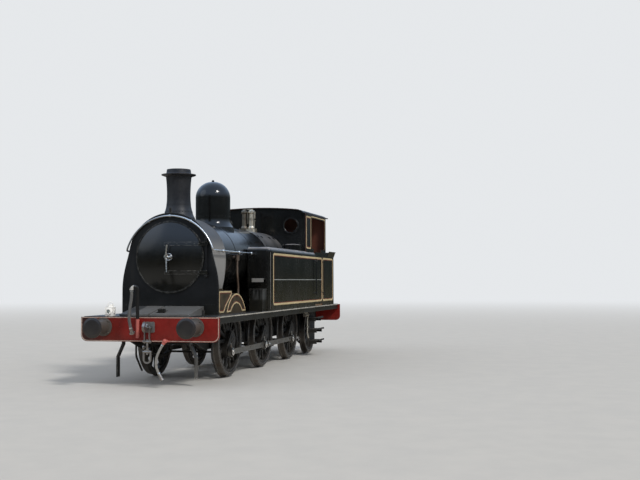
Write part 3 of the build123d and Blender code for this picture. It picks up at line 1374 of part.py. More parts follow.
def bunker_plan(height, inset):
    """Plan outline of the bunker at a height, drawn in by inset at its sides and rear."""
    with BuildSketch(level(height)) as plan:
        with Locations((0, back((DOOR_REAR + BUNKER_REAR - inset) / 2))):
            Rectangle(2 * (TANK_OUTSIDE - inset), BUNKER_REAR - DOOR_REAR - inset)
        fillet(plan.vertices().group_by(Axis.Y)[-1], BUNKER_CORNER - inset)
    return plan.sketch


wall_height = BUNKER_TOP - FOOTPLATE_TOP
coping_height = COPING_TOP - BUNKER_TOP
flare_out = coping_height * math.tan(math.radians(COPING_FLARE))
with BuildPart() as bunker:
    extrude(bunker_plan(FOOTPLATE_TOP, 0), amount=wall_height)
    extrude(bunker_plan(FOOTPLATE_TOP, BUNKER_T), amount=wall_height, mode=Mode.SUBTRACT)
    extrude(bunker_plan(BUNKER_TOP, 0), amount=coping_height, taper=-COPING_FLARE)
    extrude(bunker_plan(BUNKER_TOP, BUNKER_T), amount=coping_height, taper=-COPING_FLARE, mode=Mode.SUBTRACT)
    add(block(-1400, 1400, DOOR_REAR - 200, CAB_BACK, BUNKER_TOP, COPING_TOP), mode=Mode.SUBTRACT)
    # Cab corner panels and their ledges beside the doorways, then the coal plate with its shovel hole
    for side in (-1, 1):
        outside = side * (TANK_OUTSIDE - BUNKER_T / 2)
        add(block(outside - BUNKER_T / 2, outside + BUNKER_T / 2, DOOR_REAR, CAB_BACK, BUNKER_TOP, TANK_TOP))
        ledge = side * (CAB_HALF - 20)
        add(block(ledge - 60, ledge + 60, DOOR_REAR, CAB_BACK, TANK_TOP - 10, TANK_TOP))
        jamb = side * (TANK_OUTSIDE - 60)
        add(block(jamb - 55, jamb + 55, DOOR_REAR, DOOR_REAR + BUNKER_T, FOOTPLATE_TOP, TANK_TOP))
    with BuildSketch(across(CAB_BACK)):
        with Locations((0, up((FOOTPLATE_TOP + TANK_TOP) / 2))):
            Rectangle(2 * (TANK_OUTSIDE - BUNKER_T / 2), TANK_TOP - FOOTPLATE_TOP)
        with Locations((0, up(1640))):
            RectangleRounded(620, 460, 50, mode=Mode.SUBTRACT)
    extrude(amount=-BUNKER_T)
    # Hinge pins of the cab doors, on brackets from the jambs
    for side in (-1, 1):
        pin_x = side * LEAF_HINGE[0]
        for height in LEAF_KNUCKLES:
            with BuildSketch(level(height - 70)):
                with Locations((pin_x, back(LEAF_HINGE[1]))):
                    Circle(LEAF_PIN_RADIUS)
            extrude(amount=140)
            for end in (-58, 58):
                with BuildSketch(level(height + end - 10)):
                    with Locations((pin_x, back(LEAF_HINGE[1]))):
                        Circle(LEAF_PIN_RADIUS + 2)
                    with Locations((pin_x - side, back((LEAF_HINGE[1] + DOOR_REAR) / 2))):
                        Rectangle(2 * LEAF_PIN_RADIUS + 2, DOOR_REAR - LEAF_HINGE[1])
                extrude(amount=20)
pieces["bunker"] = bunker

with BuildPart() as cab_back:
    extrude(roof_outline(CAB_BACK, CAB_SHEET, TANK_TOP), amount=-CAB_SHEET)
    with BuildSketch(across(CAB_BACK)):
        with Locations(*[(x, up(SPECTACLE_HEIGHT)) for x in (-SPECTACLE_X, SPECTACLE_X)]):
            Circle(SPECTACLE_RADIUS)
    extrude(amount=-CAB_SHEET, mode=Mode.SUBTRACT)
    # Rings and coal guard bars behind the windows
    with BuildSketch(across(CAB_BACK + CAB_SHEET)):
        for x in (-SPECTACLE_X, SPECTACLE_X):
            with Locations((x, up(SPECTACLE_HEIGHT))):
                Circle(SPECTACLE_RADIUS + 26)
                Circle(SPECTACLE_RADIUS - 6, mode=Mode.SUBTRACT)
            for bar in range(-2, 3):
                with Locations((x + bar * 62, up(SPECTACLE_HEIGHT))):
                    Rectangle(14, 2 * SPECTACLE_RADIUS + 20)
    extrude(amount=-14)
pieces["cab_back"] = cab_back

GLASS_T = 6.0
with BuildPart() as window_glass:
    for t in (CAB_FRONT + 2, CAB_BACK + 2):
        with BuildSketch(across(t)):
            with Locations(*[(x, up(SPECTACLE_HEIGHT)) for x in (-SPECTACLE_X, SPECTACLE_X)]):
                Circle(SPECTACLE_RADIUS)
        extrude(amount=-GLASS_T)
pieces["window_glass"] = window_glass

# Cab floor: boards from the backhead to the coal plate, wider between the two doorways
NARROW_HALF = 628.0
with BuildPart() as cab_floor:
    with BuildSketch(level(FOOTPLATE_TOP)):
        with BuildLine():
            wide = TANK_OUTSIDE - 12
            outline = [
                (NARROW_HALF, back(BACKHEAD)),
                (NARROW_HALF, back(DOOR_FRONT)),
                (wide, back(DOOR_FRONT)),
                (wide, back(DOOR_REAR)),
                (TANK_OUTSIDE - 116, back(DOOR_REAR)),
                (TANK_OUTSIDE - 116, back(CAB_BACK)),
            ]
            Polyline(*outline, *[(-x, y) for x, y in reversed(outline)], close=True)
        make_face()
    extrude(amount=FLOOR_TOP - FOOTPLATE_TOP)
pieces["cab_floor"] = cab_floor

# Cab doors: flush outside, hung at the bunker and opening inward
with BuildPart() as left_cab_door:
    add(block(TANK_OUTSIDE - LEAF_T, TANK_OUTSIDE, DOOR_FRONT + LEAF_GAP, DOOR_REAR - LEAF_GAP, LEAF_LOW, LEAF_HIGH))
    for height in LEAF_KNUCKLES:
        with BuildSketch(level(height - 45)):
            with Locations((LEAF_HINGE[0], back(LEAF_HINGE[1]))):
                Circle(13)
        extrude(amount=90)
        with BuildSketch(level(height - 45)):
            with Locations((LEAF_HINGE[0], back(LEAF_HINGE[1]))):
                Circle(LEAF_PIN_RADIUS + RUNNING_FIT)
        extrude(amount=90, mode=Mode.SUBTRACT)
    # Latch handle inside
    add(block(TANK_OUTSIDE - LEAF_T - 36, TANK_OUTSIDE - LEAF_T, DOOR_FRONT + 46, DOOR_FRONT + 66, 2330, 2350))
    add(block(TANK_OUTSIDE - LEAF_T - 36, TANK_OUTSIDE - LEAF_T - 22, DOOR_FRONT + 46, DOOR_FRONT + 170, 2330, 2350))
with BuildPart() as right_cab_door:
    add(left_cab_door.part.mirror(Plane.YZ))
pieces["left_cab_door"] = left_cab_door
pieces["right_cab_door"] = right_cab_door

# Controls on the backhead, and the reversing lever's stand
with BuildPart() as cab_controls:
    # Round fittings: X, height, radius, distance out
    for x, height, radius, out in (
        (0, 1960, 210, 36),
        (0, 2560, 60, 70),
        (-330, 2760, 85, 60),
        (330, 2760, 85, 60),
        (-300, 2350, 34, 80),
        (300, 2350, 34, 80),
        (-420, 2130, 50, 90),
        (420, 2130, 50, 90),
    ):
        with BuildSketch(across(BACKHEAD)):
            with Locations((x, up(height))):
                Circle(radius)
        extrude(amount=-out)
    add(block(-18, 300, BACKHEAD + 58, BACKHEAD + 80, 2545, 2580))
    add(block(500, 540, 7000, 7240, FLOOR_TOP, 1820))
    add(block(507, 533, 7100, 7140, 1820, 2160))
    add(block(-560, -520, 7040, 7160, FLOOR_TOP, 2040))
    add(block(-700, -420, 7070, 7130, 2040, 2075))
pieces["cab_controls"] = cab_controls

# Handrails: a rod along each side of the boiler, an arch over the front plate, and grab rails
RAIL_RADIUS = 17.0
RAIL_X = 858.0
RAIL_HEIGHT = 2410.0
RAIL_FRONT = 936.0
RAIL_BEND = 70.0
RAIL_JOIN = 20.0
rail_lean = math.atan((RAIL_HEIGHT - BOILER_HEIGHT) / RAIL_X)
rise = Vector(-math.sin(rail_lean), 0, math.cos(rail_lean))
rail_start = Vector(RAIL_X, back(TANK_FRONT), up(RAIL_HEIGHT))
bend_start = Vector(RAIL_X, back(RAIL_FRONT + RAIL_BEND), up(RAIL_HEIGHT))
bend_end = bend_start + Vector(0, -RAIL_BEND, 0) + rise * RAIL_BEND
arch_radius = bend_end.X / math.cos(rail_lean)
arch_top = Vector(0, bend_end.Y, bend_end.Z + arch_radius * (1 - math.sin(rail_lean)))
# Rail knobs: back distance
RAIL_KNOBS = (1500.0, 2450.0, 3250.0)
GRAB_RAIL = (1480.0, 2380.0)
GRAB_RAIL_X = TANK_OUTSIDE + 40
GRAB_RAIL_INSET = 42.0
GRAB_RAIL_RADIUS = 11.0
with BuildPart() as front_handrail:
    with BuildLine():
        arch_start = Line(bend_start + Vector(0, RAIL_JOIN, 0), bend_start)
        TangentArc(bend_start, bend_end, tangent=(0, -1, 0))
        ThreePointArc(bend_end, arch_top, Vector(-bend_end.X, bend_end.Y, bend_end.Z))
        TangentArc(
            Vector(-bend_start.X, bend_start.Y, bend_start.Z),
            Vector(-bend_end.X, bend_end.Y, bend_end.Z),
            tangent=(0, -1, 0),
        )
        Line(
            Vector(-bend_start.X, bend_start.Y, bend_start.Z),
            Vector(-bend_start.X, bend_start.Y + RAIL_JOIN, bend_start.Z),
        )
    with BuildSketch(Plane(origin=arch_start @ 0, z_dir=(0, -1, 0))):
        Circle(RAIL_RADIUS)
    sweep()
    # Stanchions that carry the arch from the front plate
    for lean in (30, 90, 150):
        angle = math.radians(lean)
        spot = Vector(arch_radius * math.cos(angle), 0, arch_radius * math.sin(angle) + arch_top.Z - arch_radius)
        with Locations((spot.X, back(RAIL_FRONT), spot.Z)):
            Sphere(28)
        inward = Vector(-math.cos(angle), 0.42, -math.sin(angle)).normalized()
        with BuildSketch(Plane(origin=(spot.X, back(RAIL_FRONT), spot.Z), z_dir=inward)):
            Circle(12)
        extrude(amount=105)
    add(smokebox_form.part, mode=Mode.SUBTRACT)
    add(smokebox_front.part, mode=Mode.SUBTRACT)
pieces["front_handrail"] = front_handrail

with BuildPart() as handrails:
    with BuildSketch(Plane(origin=rail_start, z_dir=(0, -1, 0))):
        Circle(RAIL_RADIUS)
    extrude(amount=rail_start.Y - bend_start.Y - RAIL_JOIN)
    for knob in RAIL_KNOBS:
        with BuildSketch(Plane(origin=(620, back(knob), up(RAIL_HEIGHT)), z_dir=(1, 0, 0))):
            Circle(13)
        extrude(amount=RAIL_X - 620)
        with Locations((RAIL_X, back(knob), up(RAIL_HEIGHT))):
            Sphere(30)
    add(smokebox_form.part, mode=Mode.SUBTRACT)
    add(boiler_barrel.part, mode=Mode.SUBTRACT)
    # Upright grab rails beside the doorways
    for t in (DOOR_FRONT - GRAB_RAIL_INSET, DOOR_REAR + GRAB_RAIL_INSET):
        with BuildSketch(level(GRAB_RAIL[0])):
            with Locations((GRAB_RAIL_X, back(t))):
                Circle(GRAB_RAIL_RADIUS)
        extrude(amount=GRAB_RAIL[1] - GRAB_RAIL[0])
        for height in (GRAB_RAIL[0] + 60, GRAB_RAIL[1] - 60):
            with BuildSketch(Plane(origin=(TANK_OUTSIDE, back(t), up(height)), z_dir=(1, 0, 0))):
                Circle(GRAB_RAIL_RADIUS + 2)
            extrude(amount=GRAB_RAIL_X - TANK_OUTSIDE)
    mirror(about=Plane.YZ)
pieces["handrails"] = handrails

# Feed pipes drop from clack valves on the boiler's sides to the running plate
FEED_BACK = 2590.0
FEED_X = 770.0
with BuildPart() as feed_pipes:
    with BuildLine():
        FilletPolyline(
            (FEED_X, back(FEED_BACK), up(2300)),
            (FEED_X, back(FEED_BACK), up(1960)),
            (FEED_X - 30, back(FEED_BACK + 150), up(1700)),
            (FEED_X - 30, back(FEED_BACK + 150), up(FOOTPLATE_TOP)),
            radius=120,
        )
    with BuildSketch(Plane(origin=(FEED_X, back(FEED_BACK), up(2300)), z_dir=(0, 0, -1))):
        Circle(26)
    sweep()
    with BuildSketch(level(2250)):
        with Locations((FEED_X, back(FEED_BACK))):
            Circle(52)
    extrude(amount=120)
    with BuildSketch(Plane(origin=(600, back(FEED_BACK), up(2310)), z_dir=(1, 0, 0))):
        Circle(44)
    extrude(amount=FEED_X - 600)
    mirror(about=Plane.YZ)
    add(boiler_barrel.part, mode=Mode.SUBTRACT)
pieces["feed_pipes"] = feed_pipes

# Injectors under the running plate behind the tanks' doors, on two pipes each
with BuildPart() as injectors:
    with BuildSketch(across(6980)):
        with Locations((1040, up(1000))):
            Circle(46)
    extrude(amount=-60)
    with BuildSketch(across(7040)):
        with Locations((1040, up(1000))):
            Circle(34)
    extrude(amount=-190)
    with BuildSketch(across(7230)):
        with Locations((1040, up(1000))):
            Circle(50)
    extrude(amount=-50)
    for t in (7010, 7180):
        with BuildSketch(level(1000)):
            with Locations((1040, back(t))):
                Circle(22)
        extrude(amount=FRAME_TOP - 1000)
    mirror(about=Plane.YZ)
pieces["injectors"] = injectors

# Cab steps: a hanging plate with three treads under each doorway
# Treads: height, how far out
TREADS = [(360.0, 1292.0), (640.0, 1292.0), (920.0, 1270.0)]
STEP_PLATE_X = 1030.0
with BuildPart() as cab_steps:
    with BuildSketch(beside(STEP_PLATE_X)):
        with BuildLine():
            Polyline(
                (back(7420), up(FRAME_TOP)),
                (back(7440), up(340)),
                (back(8000), up(340)),
                (back(8020), up(FRAME_TOP)),
                close=True,
            )
        make_face()
    extrude(amount=12)
    for height, reach in TREADS:
        add(block(STEP_PLATE_X, reach, 7440, 8000, height - 14, height))
        add(block(reach - 12, reach, 7440, 8000, height, height + 26))
        for end in (7440, 7988):
            add(block(STEP_PLATE_X, reach - 60, end, end + 12, height - 90, height))
    mirror(about=Plane.YZ)
pieces["cab_steps"] = cab_steps

# Hoses. Route points: X, back distance, height
VACUUM_HOSE_RADIUS = 28.0
VACUUM_ROUTE = [
    (-272.0, -132.0, 1684.0),
    (-272.0, -132.0, 1560.0),
    (-282.0, -164.0, 1410.0),
    (-290.0, -196.0, 1250.0),
    (-286.0, -192.0, 1115.0),
    (-274.0, -146.0, 1005.0),
]
HEATING_HOSE_RADIUS = 23.0
HEATING_ROUTE = [
    (300.0, -82.0, 735.0),
    (245.0, -96.0, 640.0),
    (197.0, -106.0, 530.0),
    (180.0, -112.0, 410.0),
    (198.0, -112.0, 300.0),
    (244.0, -106.0, 212.0),
]

# Train pipes: a vacuum standpipe at each end, the front one bent over to its hose, and a heating cock
VACUUM_X = -190.0
VACUUM_OUT = -62.0
VACUUM_RADIUS = 30.0
# Mouth of the bent top: X, back distance, height
VACUUM_MOUTH = Vector(-272.0, -132.0, 1690.0)
COCK_OUT = 62.0
heating_start = Vector(HEATING_ROUTE[0][0], back(HEATING_ROUTE[0][1]), up(HEATING_ROUTE[0][2]))
heating_next = Vector(HEATING_ROUTE[1][0], back(HEATING_ROUTE[1][1]), up(HEATING_ROUTE[1][2]))
heating_lead = (heating_next - heating_start).normalized()
cock = heating_start - heating_lead * COCK_OUT
with BuildPart() as train_pipes:
    with BuildLine():
        low = Vector(VACUUM_X, back(VACUUM_OUT), up(840))
        high = Vector(VACUUM_X, back(VACUUM_OUT), up(VACUUM_MOUTH.Z))
        mouth = Vector(VACUUM_MOUTH.X, back(VACUUM_MOUTH.Y), up(VACUUM_MOUTH.Z))
        across_bend = (mouth - high).length / 2
        crown = (high + mouth) / 2 + Vector(0, 0, across_bend)
        Line(low, high)
        ThreePointArc(high, crown, mouth)
    with BuildSketch(Plane(origin=low, z_dir=(0, 0, 1))):
        Circle(VACUUM_RADIUS)
    sweep()
    with BuildSketch(level(VACUUM_MOUTH.Z - 6)):
        with Locations((mouth.X, mouth.Y)):
            Circle(VACUUM_RADIUS + 8)
    extrude(amount=26)
    # Clips on the beam, and a stiffened foot
    for height in (880, 1150):
        add(block(VACUUM_X - 16, VACUUM_X + 16, VACUUM_OUT, 0, height - 14, height + 14))
    # Rear standpipe, capped where its hose would be
    rear_low = Vector(-VACUUM_X, -back(VACUUM_OUT), up(840))
    with BuildSketch(Plane(origin=rear_low, z_dir=(0, 0, 1))):
        Circle(VACUUM_RADIUS)
    extrude(amount=720)
    for height in (880, 1150):
        add(block(-VACUUM_X - 16, -VACUUM_X + 16, OVER_BEAMS, OVER_BEAMS - VACUUM_OUT, height - 14, height + 14))
    # Heating cock on the front beam, from which the heating hose leaves
    with BuildSketch(Plane(origin=cock, z_dir=heating_lead)):
        Circle(30)
    extrude(amount=COCK_OUT)
    with Locations(cock):
        Sphere(42)
    with BuildSketch(Plane(origin=(cock.X, cock.Y, cock.Z), z_dir=(0, 1, 0))):
        Circle(30)
    extrude(amount=back(0) - cock.Y)
    with BuildSketch(Plane(origin=(cock.X, cock.Y, cock.Z), z_dir=(1, 0, 0))):
        Circle(14)
    extrude(amount=86)
pieces["train_pipes"] = train_pipes


def hose(route, radius):
    """Hose along straight runs joined by the largest even arcs that the runs allow."""
    points = [Vector(x, back(t), up(h)) for x, t, h in route]
    radii = []
    for before, corner, after in zip(points, points[1:], points[2:]):
        half_turn = math.radians((corner - before).get_angle(after - corner)) / 2
        shorter = min((corner - before).length, (after - corner).length)
        radii.append(0.45 * shorter / math.tan(half_turn))
    print("bend radii", [round(bend) for bend in radii], "hose diameter", 2 * radius)
    with BuildPart() as tube:
        with BuildLine():
            FilletPolyline(*points, radius=radii)
        with BuildSketch(Plane(origin=points[0], z_dir=points[1] - points[0])):
            Circle(radius)
        sweep()
    return tube


pieces["vacuum_hose"] = hose(VACUUM_ROUTE, VACUUM_HOSE_RADIUS)
pieces["heating_hose"] = hose(HEATING_ROUTE, HEATING_HOSE_RADIUS)


def hose_end(route):
    """Last point of a hose and the direction in which it leaves."""
    last = Vector(route[-1][0], back(route[-1][1]), up(route[-1][2]))
    before = Vector(route[-2][0], back(route[-2][1]), up(route[-2][2]))
    return last, (last - before).normalized()


# Coupling heads on the hoses: route, stem radius, head radius, length
with BuildPart() as hose_couplings:
    for route, stem, head, length in ((VACUUM_ROUTE, 34, 50, 70), (HEATING_ROUTE, 28, 38, 90)):
        end, heading = hose_end(route)
        with BuildSketch(Plane(origin=end, z_dir=heading)):
            Circle(stem)
        extrude(amount=length)
        with BuildSketch(Plane(origin=end + heading * length, z_dir=heading)):
            Circle(head)
        extrude(amount=24)
pieces["hose_couplings"] = hose_couplings

# White headlamp on the front platform
LAMP_X = -800.0
with BuildPart() as headlamp:
    add(block(LAMP_X - 72, LAMP_X + 72, 62, 190, FOOTPLATE_TOP, FOOTPLATE_TOP + 165))
    with BuildSketch(level(FOOTPLATE_TOP + 165)):
        with Locations((LAMP_X, back(126))):
            Circle(50)
    extrude(amount=42, taper=12)
    with BuildSketch(across(62)):
        with Locations((LAMP_X, up(FOOTPLATE_TOP + 84))):
            Circle(56)
            Circle(44, mode=Mode.SUBTRACT)
    extrude(amount=26)
    with BuildSketch(across(62)):
        with Locations((LAMP_X, up(FOOTPLATE_TOP + 84))):
            Circle(46)
    extrude(amount=14)
pieces["headlamp"] = headlamp

for name, piece in pieces.items():
    piece.part.label = name
    export_step(piece.part, f"parts/{name}.step")
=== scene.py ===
import math

import bpy
from mathutils import Matrix, Vector
from mathutils.bvhtree import BVHTree
from mathutils.geometry import tessellate_polygon


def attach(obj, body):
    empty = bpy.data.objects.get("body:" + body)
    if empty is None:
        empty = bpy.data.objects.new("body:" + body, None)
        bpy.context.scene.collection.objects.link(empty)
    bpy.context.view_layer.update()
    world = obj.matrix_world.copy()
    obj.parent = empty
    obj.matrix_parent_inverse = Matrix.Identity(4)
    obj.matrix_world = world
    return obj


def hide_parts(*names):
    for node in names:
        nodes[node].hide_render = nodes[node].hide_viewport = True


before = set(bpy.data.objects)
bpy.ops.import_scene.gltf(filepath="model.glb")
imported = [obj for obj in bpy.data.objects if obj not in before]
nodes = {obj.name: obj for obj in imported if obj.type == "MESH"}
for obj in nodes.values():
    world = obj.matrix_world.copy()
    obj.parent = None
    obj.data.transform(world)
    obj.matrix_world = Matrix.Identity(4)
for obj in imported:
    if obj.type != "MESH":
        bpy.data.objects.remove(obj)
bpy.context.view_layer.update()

scene = bpy.context.scene

# Engine coordinates in mm, as in the part: across from the middle, back from the front beam, up from rail
MIDDLE_BACK = 4915.0
RAIL_UP = 28.5
# The round windows: height, the part's distance from the middle, and that of the front ones here
SPECTACLE_UP, SPECTACLE_PART_X, SPECTACLE_X = 3170.0, 560.0, 828.0


def place(point):
    """A point of the engine in the frame's metres."""
    x, back, up = point
    return Vector((x / 1000, (back - MIDDLE_BACK) / 1000, (up + RAIL_UP) / 1000))


def on_engine(at):
    """A place in the frame's metres as a point of the engine."""
    return Vector((at.x * 1000, at.y * 1000 + MIDDLE_BACK, at.z * 1000 - RAIL_UP))


def linked(name, data):
    made = bpy.data.objects.new(name, data)
    scene.collection.objects.link(made)
    return made


# Camera at the photograph's viewpoint
CAMERA_PLACE = (6.898, -20.710, 1.8605)
HEADING, PITCH, ROLL = math.radians(13.4841), math.radians(2.45367), math.radians(-0.19289)

flat = math.cos(PITCH)
forward = Vector((-math.sin(HEADING) * flat, math.cos(HEADING) * flat, math.sin(PITCH)))
level = Vector((math.cos(HEADING), math.sin(HEADING), 0))
upward = level.cross(forward)
right = level * math.cos(ROLL) + upward * math.sin(ROLL)
upward = upward * math.cos(ROLL) - level * math.sin(ROLL)
lens = bpy.data.cameras.new("view")
lens.lens = 53.919
lens.sensor_width = 36
lens.clip_end = 500
camera = linked("view", lens)
axes = Matrix([[right[i], upward[i], -forward[i]] for i in range(3)])
camera.matrix_world = Matrix.Translation(CAMERA_PLACE) @ axes.to_4x4()
scene.camera = camera


# Materials: every finish is mixed from noise in the object's own place, dust by height (on the black paints
# partly a painted reflection of the ground) and wear on edges (on some finishes partly painted highlights)
class Nodes:
    """Shader nodes of one tree, added and linked."""

    def __init__(self, tree):
        self.tree = tree
        self.here = None

    def add(self, kind, values=(), **settings):
        """A node; values feed its inputs, in order or by key."""
        made = self.tree.nodes.new(kind)
        for key, value in settings.items():
            setattr(made, key, value)
        for key, value in values.items() if isinstance(values, dict) else enumerate(values):
            if value is not None:
                self.feed(made.inputs[key], value)
        return made

    def feed(self, socket, value):
        """A node's output, a number or a colour into a socket."""
        if isinstance(value, bpy.types.NodeSocket):
            self.tree.links.new(value, socket)
        elif isinstance(value, (int, float)):
            socket.default_value = value
        else:
            socket.default_value = (*value, 1.0)[: len(socket.default_value)]

    def maths(self, step, a, b=0.0, clamp=False):
        return self.add("ShaderNodeMath", (a, b), operation=step, use_clamp=clamp).outputs[0]

    def times(self, *shares):
        out = shares[0]
        for share in shares[1:]:
            out = self.maths("MULTIPLY", out, share)
        return out

    def mix(self, share, a, b):
        return self.add("ShaderNodeMix", {0: share, 6: a, 7: b}, data_type="RGBA").outputs[2]

    def span(self, value, low, high, start=0.0, end=1.0):
        """Smooth step from start to end as value goes from low to high."""
        values = (value, low, high, start, end)
        return self.add("ShaderNodeMapRange", values, interpolation_type="SMOOTHSTEP").outputs[0]

    def along(self, axis, of=None):
        """One coordinate of the place, or of another vector."""
        return self.add("ShaderNodeSeparateXYZ", (of or self.here,)).outputs[axis]


class Finish(Nodes):
    """A Principled material whose colour and roughness are built up in layers, closed by done()."""

    def __init__(self, name, colour, rough, metal=0.0, level=0.5, mottle=0.12, fine=28.0):
        self.material = bpy.data.materials.new(name)
        self.material.use_nodes = True
        super().__init__(self.material.node_tree)
        self.shader = self.tree.nodes["Principled BSDF"]
        self.shader.inputs["Metallic"].default_value = metal
        self.shader.inputs["Specular IOR Level"].default_value = level
        self.here = self.add("ShaderNodeTexCoord").outputs["Object"]
        self.solid = self.add("ShaderNodeNewGeometry").outputs["Normal"]
        self.broad = self.noise(1.6, 3)
        deep = tuple(c * (1 - mottle) for c in colour)
        pale = tuple(c * (1 + mottle) + 0.02 * mottle for c in colour)
        both = self.maths("ADD", self.times(self.broad, 0.55), self.times(self.noise(fine, 5), 0.45))
        self.colour = self.mix(self.span(both, 0.32, 0.68), deep, pale)
        self.rough = self.maths("ADD", self.times(self.span(both, 0.3, 0.7), 0.16), rough - 0.08)
        self.normal = None

    def noise(self, scale, detail=4, stretch=(1, 1, 1), twist=0.0):
        scaled = self.add("ShaderNodeMapping", {"Vector": self.here, "Scale": stretch}).outputs[0]
        values = {"Vector": scaled, "Scale": scale, "Detail": detail}
        values |= {"Roughness": 0.58, "Distortion": twist}
        return self.add("ShaderNodeTexNoise", values).outputs[0]

    def cloud(self, scale, detail, low, high, start=0.0, end=1.0, stretch=(1, 1, 1)):
        """Soft patches of noise."""
        return self.span(self.noise(scale, detail, stretch), low, high, start, end)

    def coat(self, share, colour, rough=None):
        """Lays a colour, and a roughness, over what is there, where share is 1."""
        self.colour = self.mix(share, self.colour, colour)
        if rough is not None:
            values = {0: share, 2: self.rough, 3: rough}
            self.rough = self.add("ShaderNodeMix", values, data_type="FLOAT").outputs[0]
        return self

    def over(self, axis, low, high, colour, rough, start=0.0, end=1.0):
        """Coats by a coordinate in metres."""
        return self.coat(self.span(self.along(axis), low, high, start, end), colour, rough)

    def facing(self, axis, low, high, colour, rough, start=0.0, end=1.0):
        """Coats by a part of the surface's direction."""
        return self.coat(self.span(self.along(axis, self.solid), low, high, start, end), colour, rough)

    def clouded(self, scale, detail, low, high, share, colour, rough):
        """Coats in patches."""
        return self.coat(self.times(self.cloud(scale, detail, low, high), share), colour, rough)

    def streaks(self, share, colour, rough=None, scale=9.0):
        """Vertical runs of grime."""
        runs = self.cloud(scale, 5, 0.5, 0.74, stretch=(1, 1, 0.09))
        return self.coat(self.times(runs, self.span(self.broad, 0.38, 0.62), share), colour, rough)

    def dust(self, share, low, high, colour=(0.105, 0.088, 0.058), rough=0.8):
        """Road dust, thick at the height low and gone at high, in metres above the floor; in the olive
        colour on the black paints it is also a painted reflection of the ground.
        """
        near = self.span(self.along("Z"), low, high, 1.0, 0.0)
        return self.coat(self.times(near, self.cloud(6.5, 6, 0.3, 0.66, 0.35), share), colour, rough)

    def settled(self, share, colour=(0.13, 0.115, 0.09), rough=0.75):
        """Soot and dust lying on surfaces that face up."""
        flat = self.span(self.along("Z", self.solid), 0.55, 0.97)
        return self.coat(self.times(flat, self.cloud(4.2, 6, 0.34, 0.7), share), colour, rough)

    def worn(self, share, colour, rough=0.4, radius=0.008):
        """Bare or scraped metal along edges; on the wheels, tyres, guard irons and smokebox door also a
        painted highlight along edges.
        """
        bevel = self.add("ShaderNodeBevel", {"Radius": radius}, samples=4).outputs[0]
        facing = self.add("ShaderNodeVectorMath", (bevel, self.solid), operation="DOT_PRODUCT")
        edge = self.span(facing.outputs["Value"], 0.9, 0.998, 1.0, 0.0)
        return self.coat(self.times(edge, self.cloud(21.0, 5, 0.36, 0.62), share), colour, rough)

    def between(self, axis, low, high, soft=0.004):
        """1 where a coordinate, in metres, lies between two values."""
        value = self.along(axis)
        below = self.span(value, high - soft, high + soft, 1.0, 0.0)
        return self.times(self.span(value, low - soft, low + soft), below)

    def bump(self, height, depth, strength=1.0):
        values = {"Strength": strength, "Distance": depth, "Height": height, "Normal": self.normal}
        self.normal = self.add("ShaderNodeBump", values).outputs[0]
        return self

    def skin(self, ripple=0.0015, grain=0.0003, grain_scale=150.0):
        """Slightly uneven plate under a brushed or rolled surface."""
        return self.bump(self.noise(2.6, 2), ripple).bump(self.noise(grain_scale, 4), grain, 0.6)

    def done(self):
        self.feed(self.shader.inputs["Base Color"], self.colour)
        self.feed(self.shader.inputs["Roughness"], self.maths("ADD", self.rough, 0.0, clamp=True))
        if self.normal is not None:
            self.feed(self.shader.inputs["Normal"], self.normal)
        return self.material


BLACK = (0.0055, 0.0057, 0.0056)
GRIME = (0.018, 0.016, 0.011)
# Olive colour low down on the black paints: dust, and a painted reflection of the ground
GROUND_REFLECTION_AND_DUST = (0.034, 0.030, 0.015)
RED = (0.20, 0.0095, 0.006)
INSIDE_PAINT = (0.15, 0.052, 0.034)


def gloss(name, dust, low, high, wear=0.35, rough=0.2, settled=0.4, dirt_and_reflection=GROUND_REFLECTION_AND_DUST, level=0.42):
    made = Finish(name, BLACK, rough, level=level)
    # The olive colour low down is dust and a painted reflection of the ground
    made.dust(dust, low, high, dirt_and_reflection, 0.5).streaks(0.35, GRIME, 0.42)
    made.settled(settled, (0.05, 0.047, 0.042), 0.5).worn(wear, (0.16, 0.15, 0.135), 0.4)
    return made.skin(0.0022, 0.00012, 320.0)


boiler_paint = gloss("boiler_paint", 0.2, 1.1, 2.0, 0.2, 0.17, 0.1).done()
fire = gloss("firebox_paint", 0.2, 1.1, 2.0, 0.2, 0.24, 0.1)
# Painted sky reflection: pale grey patches where the firebox faces up
upper = fire.span(fire.along("Z", fire.solid), 0.3, 0.72, 0.0, 0.95)
upper = fire.times(upper, fire.cloud(5.0, 6, 0.32, 0.68, 0.42, 1.0, (1.0, 1.3, 0.5)))
firebox_paint = fire.coat(upper, (0.15, 0.147, 0.148), 0.42).bump(fire.noise(4.5, 3), 0.004).done()
body_paint = gloss("body_paint", 0.5, 1.2, 2.1).done()
deck_paint = gloss("deck_paint", 0.25, 0.8, 1.25, 0.75, 0.32, 0.8, level=0.25).done()
splash_paint = gloss("splasher_paint", 0.9, 1.5, 2.4, dirt_and_reflection=(0.062, 0.040, 0.016)).done()
tank = gloss("tank_paint", 0.5, 1.2, 2.1)
